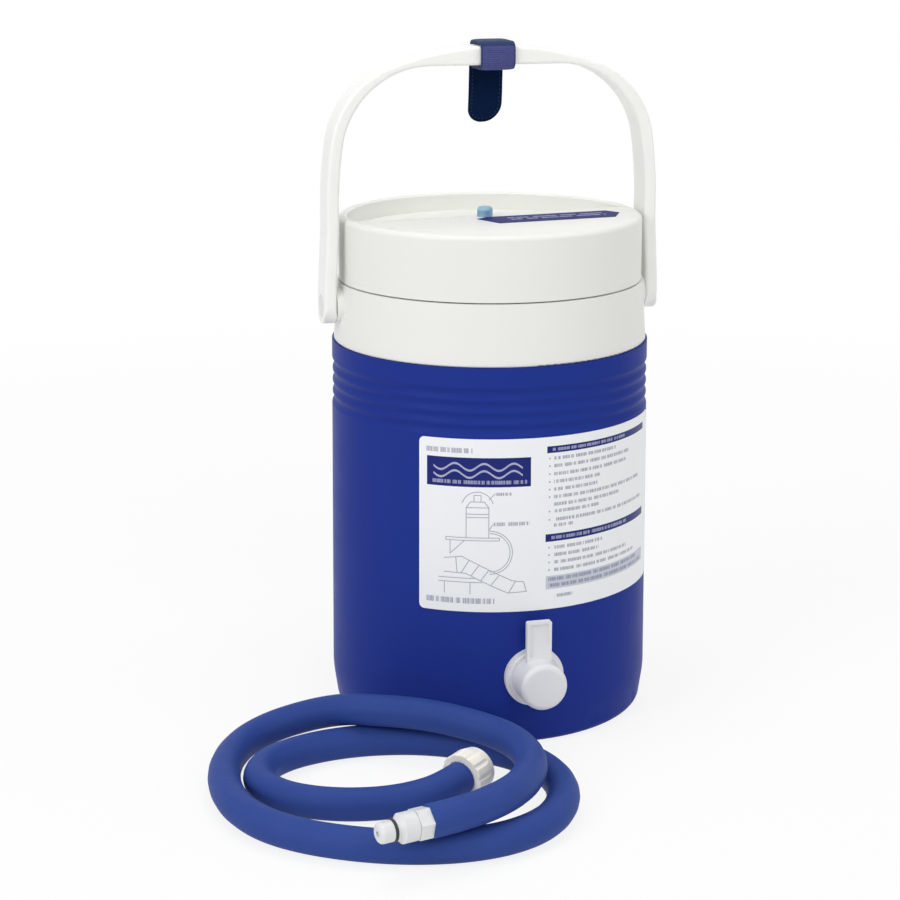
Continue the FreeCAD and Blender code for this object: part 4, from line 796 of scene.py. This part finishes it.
for vertex in band.data.vertices:
    roll = 1 - EDGE_ROLL * abs((vertex.co.x - band_middle[0]) / half_width) ** EDGE_ROLL_POWER
    vertex.co.y = band_middle[1] + (vertex.co.y - band_middle[1]) * roll
    vertex.co.z = band_middle[2] + (vertex.co.z - band_middle[2]) * roll
outward = (band.data.polygons[0].center - Vector(band_middle)).dot(band.data.polygons[0].normal) > 0
apply_modifiers(band, SOLIDIFY={"thickness": BAND_THICK, "offset": -1.0 if outward else 1.0},
                BEVEL={"width": 0.45 * MM, "segments": 2, "limit_method": "ANGLE",
                       "angle_limit": math.radians(60)})
finish_piece(band, webbing, "bail", smooth=50.0)
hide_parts("hang_strap")

# %% [markdown]
# ## The strap's free end
# The free end is a flat tongue with a rounded tip. It starts as one plane whose two lower corners are rounded
# off by different amounts, as a knife and a thumb do it. An inset border becomes the pressed edge, and the
# tongue is cut into strips so that it can curl a little towards its tip.

# %% Strap tongue
tongue_low, tongue_high = (list(corner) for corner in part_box("strap_tongue"))
TONGUE_SHIFT, TONGUE_LONGER = 1.0 * MM, 1.5 * MM
tongue_low[0], tongue_high[0] = tongue_low[0] + TONGUE_SHIFT, tongue_high[0] + TONGUE_SHIFT
tongue_low[2] -= TONGUE_LONGER
TONGUE_THICK = 1.5 * MM
TIP_LEFT, TIP_RIGHT = 8.0 * MM, 11.8 * MM
TONGUE_LEAN = math.radians(1.6)
TIP_CURL = 1.2 * MM
tongue_width, tongue_drop = tongue_high[0] - tongue_low[0], tongue_high[2] - tongue_low[2]


def hung(place):
    """Where a place on the flat tongue comes to lie, leaning a little and curling towards its tip."""
    drop = tongue_high[2] - place.z
    hang = drop / tongue_drop
    back = TIP_CURL * (math.sin(hang * 2.2 * math.pi) * 0.22 + hang ** 3 * 0.6)
    return Vector((place.x - drop * math.sin(TONGUE_LEAN), place.y + back, place.z))


tongue = start_piece("strap_free_end", bpy.ops.mesh.primitive_plane_add, size=1.0)
bpy.ops.mesh.select_all(action="SELECT")
bpy.ops.transform.resize(value=(tongue_width, tongue_drop, 1))
bpy.ops.transform.rotate(value=math.pi / 2, orient_axis="X", center_override=(0, 0, 0))
bpy.ops.transform.translate(value=((tongue_low[0] + tongue_high[0]) / 2, tongue_low[1],
                                   (tongue_low[2] + tongue_high[2]) / 2))
for side, rounding in ((-1, TIP_LEFT), (1, TIP_RIGHT)):
    corner_x = tongue_low[0] if side < 0 else tongue_high[0]
    pick(tongue, "vertices", lambda v: abs(v.co.z - tongue_low[2]) + abs(v.co.x - corner_x) < 0.1 * MM)
    bpy.ops.mesh.bevel(offset=rounding, segments=10, affect="VERTICES")
bpy.ops.mesh.select_all(action="SELECT")
bpy.ops.mesh.extrude_region_move(TRANSFORM_OT_translate={"value": (0, TONGUE_THICK, 0)})
for depth in (tongue_low[1], tongue_low[1] + TONGUE_THICK):
    pick(tongue, "polygons", lambda face: abs(face.normal.y) > 0.9 and abs(face.center.y - depth) < 0.2 * MM)
    bpy.ops.mesh.inset(thickness=0.5 * MM, depth=0.18 * MM)
STRIPS = 14
for strip_number in range(1, STRIPS):
    bpy.ops.mesh.select_all(action="SELECT")
    cut_height = tongue_low[2] + tongue_drop * strip_number / STRIPS
    bpy.ops.mesh.bisect(plane_co=(0, 0, cut_height), plane_no=(0, 0, 1))
bpy.ops.object.mode_set(mode="OBJECT")
for vertex in tongue.data.vertices:
    vertex.co = hung(vertex.co)
finish_piece(tongue, navy_webbing, "bail", smooth=50.0)
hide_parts("strap_tongue")

# %% [markdown]
# The stitches hold the free end to the band and keep its edge flat. One stitch is a short capsule of thread
# that dips into the cloth at both ends. Copies of it follow a path at an even pitch, each turned along it,
# and are joined into one piece.

# %% Stitches
STITCH_LONG, STITCH_THICK, STITCH_PITCH = 1.7 * MM, 0.42 * MM, 2.35 * MM
stitch = start_piece("strap_stitches", bpy.ops.mesh.primitive_uv_sphere_add,
                     segments=10, ring_count=8, radius=0.5)
bpy.ops.mesh.select_all(action="SELECT")
bpy.ops.transform.resize(value=(STITCH_LONG, STITCH_THICK, STITCH_THICK))
bpy.ops.object.mode_set(mode="OBJECT")


def seam(points):
    """Places at an even pitch along a path, each with the path's direction there."""
    places, spare = [], STITCH_PITCH / 2
    for a, b in zip(points, points[1:]):
        a, b = Vector(a), Vector(b)
        run = (b - a).length
        while spare < run:
            places.append((a.lerp(b, spare / run), b - a))
            spare += STITCH_PITCH
        spare -= run
    return places


edge = 1.9 * MM
left, right = tongue_low[0] + edge, tongue_high[0] - edge
bottom, top = tongue_low[2] + edge, tongue_high[2] - edge
box_foot = tongue_high[2] - 11.0 * MM
turns = [math.pi / 2 * step / CORNER_STEPS for step in range(CORNER_STEPS + 1)]
left_round, right_round = TIP_LEFT - edge, TIP_RIGHT - edge
border = ([(left, top)]
          + [(left + left_round * (1 - math.cos(a)), bottom + left_round * (1 - math.sin(a)))
             for a in turns]
          + [(right - right_round * (1 - math.sin(a)), bottom + right_round * (1 - math.cos(a)))
             for a in turns]
          + [(right, top)])
sewn_box = [(left, top), (right, top), (right, box_foot), (left, box_foot), (left, top), (right, box_foot)]
places = []
for depth in (tongue_low[1] - 0.02 * MM, tongue_low[1] + TONGUE_THICK + 0.02 * MM):
    for path in (border, sewn_box) if depth > tongue_low[1] else (border,):
        places += [(hung(place), way) for place, way in seam([(x, depth, z) for x, z in path])]
copies = []
for place, way in places:
    mesh = stitch.data.copy()
    copy = bpy.data.objects.new("stitch", mesh)
    scene.collection.objects.link(copy)
    copy.location = place
    copy.rotation_euler = Vector(way).to_track_quat("X", "Z").to_euler()
    copies.append(copy)
bpy.data.objects.remove(stitch)
bpy.ops.object.select_all(action="DESELECT")
for copy in copies:
    copy.select_set(True)
bpy.context.view_layer.objects.active = copies[0]
bpy.ops.object.join()
stitches = bpy.context.object
stitches.name = "strap_stitches"
finish_piece(stitches, thread, "bail")
print("stitches sewn:", len(places))

# %% [markdown]
# ## Floor, backdrop and lamps
# A catalogue picture has a white floor that runs into a white background. Seen directly, in a reflection or
# through something clear, floor and room are plain white; for all other light the floor is matte paper, so it
# keeps the jug's soft shadow. Two wide lamps stand to the left and the right of the camera, and a third hangs
# above. Between them the front of the jug falls a little darker, as it does in a light tent.

# %% Floor
FLOOR_HALF = 16.0
FLOOR_GLOW = 0.84
NEAR_FLOOR, FAR_FLOOR = 0.35, 1.3
bpy.ops.object.select_all(action="DESELECT")
bpy.ops.mesh.primitive_plane_add(size=2 * FLOOR_HALF, location=(0, 0, -0.0004))
floor = bpy.context.object
floor.name = "studio_floor"


def seen_share(tree):
    """1 for light that reaches the eye straight, by a reflection or through something clear."""
    ray = tree.nodes.new("ShaderNodeLightPath")
    total = ray.outputs["Is Camera Ray"]
    for kind in ("Is Glossy Ray", "Is Transmission Ray"):
        add = tree.nodes.new("ShaderNodeMath")
        add.operation = "ADD"
        add.use_clamp = True
        tree.links.new(total, add.inputs[0])
        tree.links.new(ray.outputs[kind], add.inputs[1])
        total = add.outputs[0]
    return total


paper = bpy.data.materials.new("studio_paper")
paper.use_nodes = True
tree = paper.node_tree
tree.nodes.clear()
out = tree.nodes.new("ShaderNodeOutputMaterial")
glow = tree.nodes.new("ShaderNodeEmission")
matte = tree.nodes.new("ShaderNodeBsdfDiffuse")
blend = tree.nodes.new("ShaderNodeMixShader")
share = tree.nodes.new("ShaderNodeMath")
share.operation = "MULTIPLY"
matte.inputs["Color"].default_value = (0.95, 0.95, 0.95, 1)
glow.inputs["Color"].default_value = (1, 1, 1, 1)
where = tree.nodes.new("ShaderNodeTexCoord")
reach = tree.nodes.new("ShaderNodeVectorMath")
reach.operation = "LENGTH"
fade = tree.nodes.new("ShaderNodeMapRange")
for socket, setting in (("From Min", NEAR_FLOOR), ("From Max", FAR_FLOOR),
                        ("To Min", FLOOR_GLOW), ("To Max", 1.0)):
    fade.inputs[socket].default_value = setting
tree.links.new(where.outputs["Object"], reach.inputs[0])
tree.links.new(reach.outputs["Value"], fade.inputs["Value"])
tree.links.new(seen_share(tree), share.inputs[0])
tree.links.new(fade.outputs["Result"], share.inputs[1])
tree.links.new(share.outputs[0], blend.inputs[0])
tree.links.new(matte.outputs[0], blend.inputs[1])
tree.links.new(glow.outputs[0], blend.inputs[2])
tree.links.new(blend.outputs[0], out.inputs["Surface"])
floor.data.materials.append(paper)
print("floor laid")

# %% [markdown]
# The room is a plain white world. For light that falls on things it is dim, so that the lamps give the shapes
# their shading. Each lamp is a wide square that faces the middle of the jug: the left one is the key, the
# right one fills, and the front and top ones open the shadows under the lid and between the hose's turns.

# %% World and lamps
ROOM_LIGHT = 0.36
world = bpy.data.worlds.new("white_room")
world.use_nodes = True
scene.world = world
tree = world.node_tree
tree.nodes.clear()
out = tree.nodes.new("ShaderNodeOutputWorld")
room = tree.nodes.new("ShaderNodeBackground")
room.inputs["Color"].default_value = (1, 1, 1, 1)
room.inputs["Strength"].default_value = ROOM_LIGHT
backdrop = tree.nodes.new("ShaderNodeBackground")
backdrop.inputs["Color"].default_value = (1, 1, 1, 1)
backdrop.inputs["Strength"].default_value = 1.0
blend = tree.nodes.new("ShaderNodeMixShader")
tree.links.new(seen_share(tree), blend.inputs[0])
tree.links.new(room.outputs[0], blend.inputs[1])
tree.links.new(backdrop.outputs[0], blend.inputs[2])
tree.links.new(blend.outputs[0], out.inputs["Surface"])


def soft_lamp(name, place, aim, size, power):
    """A square lamp at place that faces aim."""
    data = bpy.data.lights.new(name, "AREA")
    data.shape = "SQUARE"
    data.size = size
    data.energy = power
    lamp = bpy.data.objects.new(name, data)
    lamp.location = place
    lamp.rotation_euler = (Vector(aim) - Vector(place)).to_track_quat("-Z", "Y").to_euler()
    scene.collection.objects.link(lamp)


JUG_MIDDLE = (0, 0, 0.18)
soft_lamp("left_lamp", (-2.1, -1.2, 1.4), JUG_MIDDLE, 1.2, 23)
soft_lamp("right_lamp", (1.9, -0.9, 1.1), JUG_MIDDLE, 1.2, 5)
soft_lamp("front_lamp", (0.2, -2.2, 1.7), JUG_MIDDLE, 1.2, 12)
soft_lamp("top_lamp", (0.0, 0.1, 2.2), JUG_MIDDLE, 1.6, 18)
scene.view_settings.view_transform = "Standard"
print("lamps hung")
